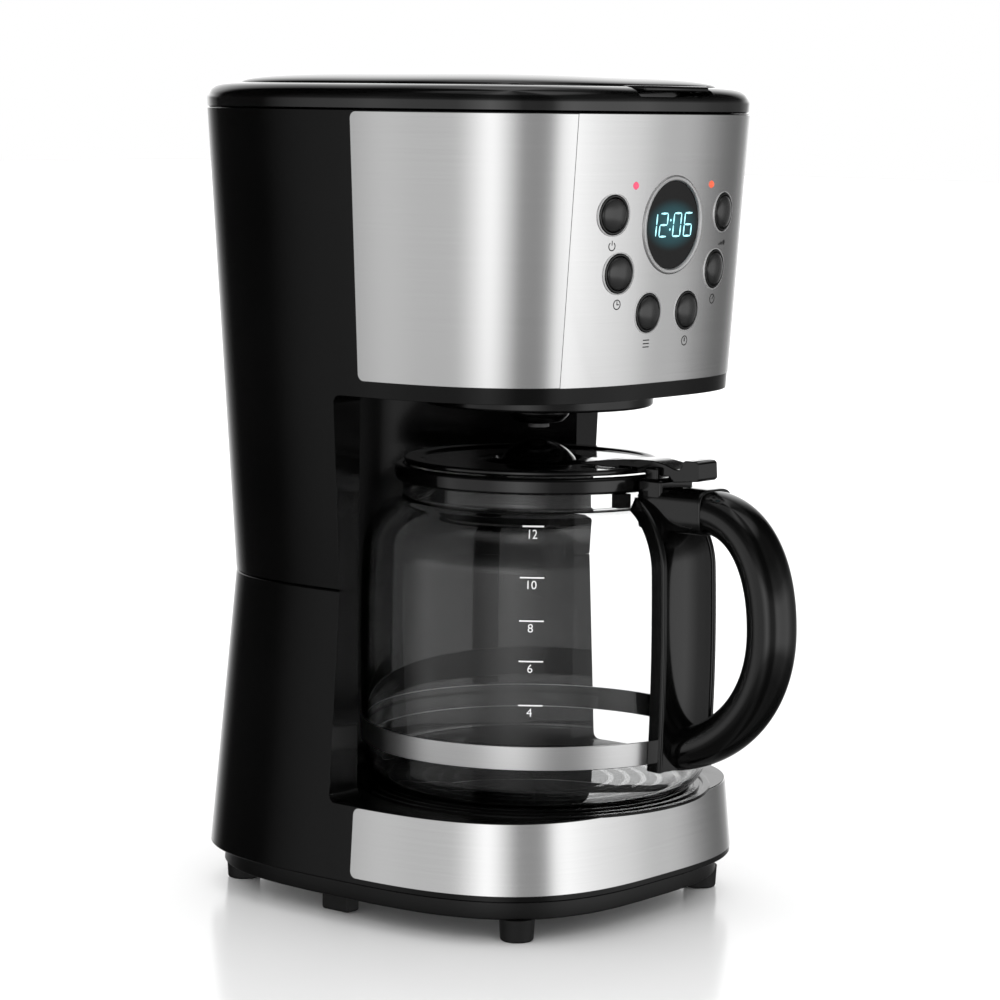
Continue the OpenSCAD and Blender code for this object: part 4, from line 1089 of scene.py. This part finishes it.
# %% Carafe lid and lever
lid_z = lip_z + 0.7
dome_z = lip_z + 11
cover_profile = [(0, dome_z - 2)] + [(17.5 * math.sin(a), dome_z - 19.5 + 17.5 * math.cos(a))
                                     for a in (0.3, 0.6, 0.85)] + [
    (15.4, lid_z), (57, lid_z, 0.8), (57, lid_z + 2.4, 0.9), (50, lid_z + 2.4, 0.8),
    (48, lid_z + 1.4, 0.5), (26, lid_z + 1.4, 0.6), (19, lid_z + 2.6, 0.8)]
cover_profile += [(19.5 * math.sin(a), dome_z - 19.5 + 19.5 * math.cos(a))
                  for a in (1.1, 0.9, 0.7, 0.5, 0.3, 0.15)] + [(0, dome_z)]
piece("jug_cover", on_carafe_axis(cover_profile), handle_black, "jug_lid",
      ["carafe_lid"])
side_view = [(-33, 190.5), (-33.6, 191.4), (-44, 193.0), (-55, 194.3), (-64, 194.9), (-71, 194.9),
             (-77, 193.9), (-82, 192.2), (-84.2, 192.1), (-85.4, 193.4), (-86.2, 195.4),
             (-87, 196.0), (-93, 196.1), (-94.2, 195.2), (-94.6, 188.8), (-93.4, 187.8),
             (-81, 186.6), (-79.6, 188.8), (-68.3, 189.4), (-63, 189.6), (-62.6, 191.3),
             (-53.8, 191.3), (-53.4, 190.5)]
lever = moved(slab(side_view, 13), at(-6.5, 0, 0))
piece("thumb_pad", lever, handle_black, "jug_lid", ["thumb_lever"], bevel=1.0,
      smooth=40, segments=3)

# %% [markdown]
# ## Parts that keep their CAD shape
# Hoses, boards and screws are plain shapes that the frame already has. They only need
# their own finishes, because they show when the lid is open or the carafe is out.

# %% Finishes for the carried-over parts
kept = [
    (bright_steel, "base_screws valve_spring lid_hinge_pins shield_screw carafe_lid_pin"),
    (silicone, "inlet_hose outlet_hose riser_tube"), (board_green, "power_board control_board"),
    (valve_plastic, "check_valve drip_valve"), (heater_metal, "heater_tube"),
    (thermostat_metal, "thermostat"), (fuse_sleeve, "thermal_fuse"),
    (tank_plastic, "water_tank"), (gland_rubber, "cord_gland"), (gold_mesh, "mesh_filter"),
    (brew_plastic, "spray_head"), (display_black, "display_module"),
    (switch_plastic, "board_switches"), (handle_black, "collar_clamp"),
]
for finish, names in kept:
    for name in names.split():
        nodes[name].data.materials.clear()
        nodes[name].data.materials.append(finish)
finished = " ".join(names for _, names in kept).split()
plain = [n for n, o in nodes.items() if not o.hide_render and n not in finished]
print("CAD parts with no finish:", plain)

# %% [markdown]
# ## Studio
# The machine stands on a white sweep in a bright tent with a few darker gaps. The steel shows
# those gaps as upright bands, so the world's brightness changes with the compass direction for
# reflections. The floor gives a faint mirror image that fades away.

# %% World
bands = [(-180, 0.64), (-172, 0.92), (-157, 1.5), (-149, 1.2), (-141, 0.8), (-131, 0.34),
         (-114, 0.32), (-106, 0.42), (-97, 1.2), (-88, 1.4), (-79, 1.25), (-64, 1.05),
         (-42, 0.85), (-35, 0.5), (-30, 0.3), (-19, 0.18), (-5, 0.16), (12, 0.4), (26, 1.15),
         (62, 1.15), (78, 0.3), (88, 0.03), (126, 0.03), (137, 0.46), (143, 0.74), (156, 0.62)]
# How much of each band shows at each height: a tall card at eye level, darker above and below.
heights = [(-0.55, 0.1), (-0.32, 0.3), (-0.2, 1.0), (0.06, 1.0), (0.2, 0.3), (0.42, 0.1),
           (0.74, 0.08), (0.86, 0.62), (1.0, 0.7)]
world = bpy.data.worlds.new("studio")
bpy.context.scene.world = world
s = Shader(world)
way = s.node("TexCoord", out="Generated")
x, y, z = (s.node("SeparateXYZ", None, {"Vector": way}, axis) for axis in "XYZ")
compass = y.maths("ARCTAN2", y, x) * (0.5 / math.pi) + 0.5
brightness = s.node("ValToRGB", {"stops": [((a + 180) / 360, (*grey(v / 2), 1))
                                           for a, v in bands]}, {"Fac": compass})
level = s.node("ValToRGB", {"stops": [((h + 1) / 2, (*grey(v), 1)) for h, v in heights]},
               {"Fac": z * 0.5 + 0.5})
# A card behind the machine, above eye level, which the lid and the floor mirror.
behind = s.node("ValToRGB", {"stops": [((a + 180) / 360, (*grey(v), 1)) for a, v in (
    (0, 0), (22, 1), (76, 1), (92, 0))]}, {"Fac": compass})
above_eye = s.node("ValToRGB", {"stops": [(h, (*grey(v), 1)) for h, v in (
    (0.02, 0), (0.1, 0.9), (0.42, 0.9), (0.7, 0.35), (0.8, 0))]}, {"Fac": z})
mirrored = s.node("LightPath", out="Glossy Depth")
scattered = s.node("LightPath", out="Is Diffuse Ray")
seen = mirrored.maths("MINIMUM", mirrored, 1.0)
near_level = s.product(brightness, level)
reflected = s.node("Background", None, {"Color": near_level, "Strength": 2.0})
card = s.product(behind, above_eye)
above = s.node("Background", None, {"Color": card, "Strength": 1.05})
tent = s.node("AddShader", None, {0: reflected, 1: above})
white = s.node("Background", None, {"Color": (1, 1, 1, 1), "Strength": 1.0 + scattered * 0.3})
s.node_output(s.node("MixShader", None, {"Fac": seen, 1: white, 2: tent}))

world.cycles.sampling_method = "NONE"

# %% Floor
floor_bm = bmesh.new()
bmesh.ops.create_grid(floor_bm, x_segments=8, y_segments=8, size=12)
floor_mesh = bpy.data.meshes.new("floor")
floor_bm.to_mesh(floor_mesh)
floor_bm.free()
floor = bpy.data.objects.new("floor", floor_mesh)
bpy.context.scene.collection.objects.link(floor)
s = Shader(bpy.data.materials.new("floor_white"))
floor_mesh.materials.append(s.surface({
    "Base Color": s.shade(s.noise(3.0), grey(0.955), grey(0.965)),
    "Roughness": 0.14 + s.noise(5.0) * 0.05, "Specular IOR Level": 0.3}))
floor.visible_glossy = False

# %% View transform
bpy.context.scene.view_settings.view_transform = "Standard"
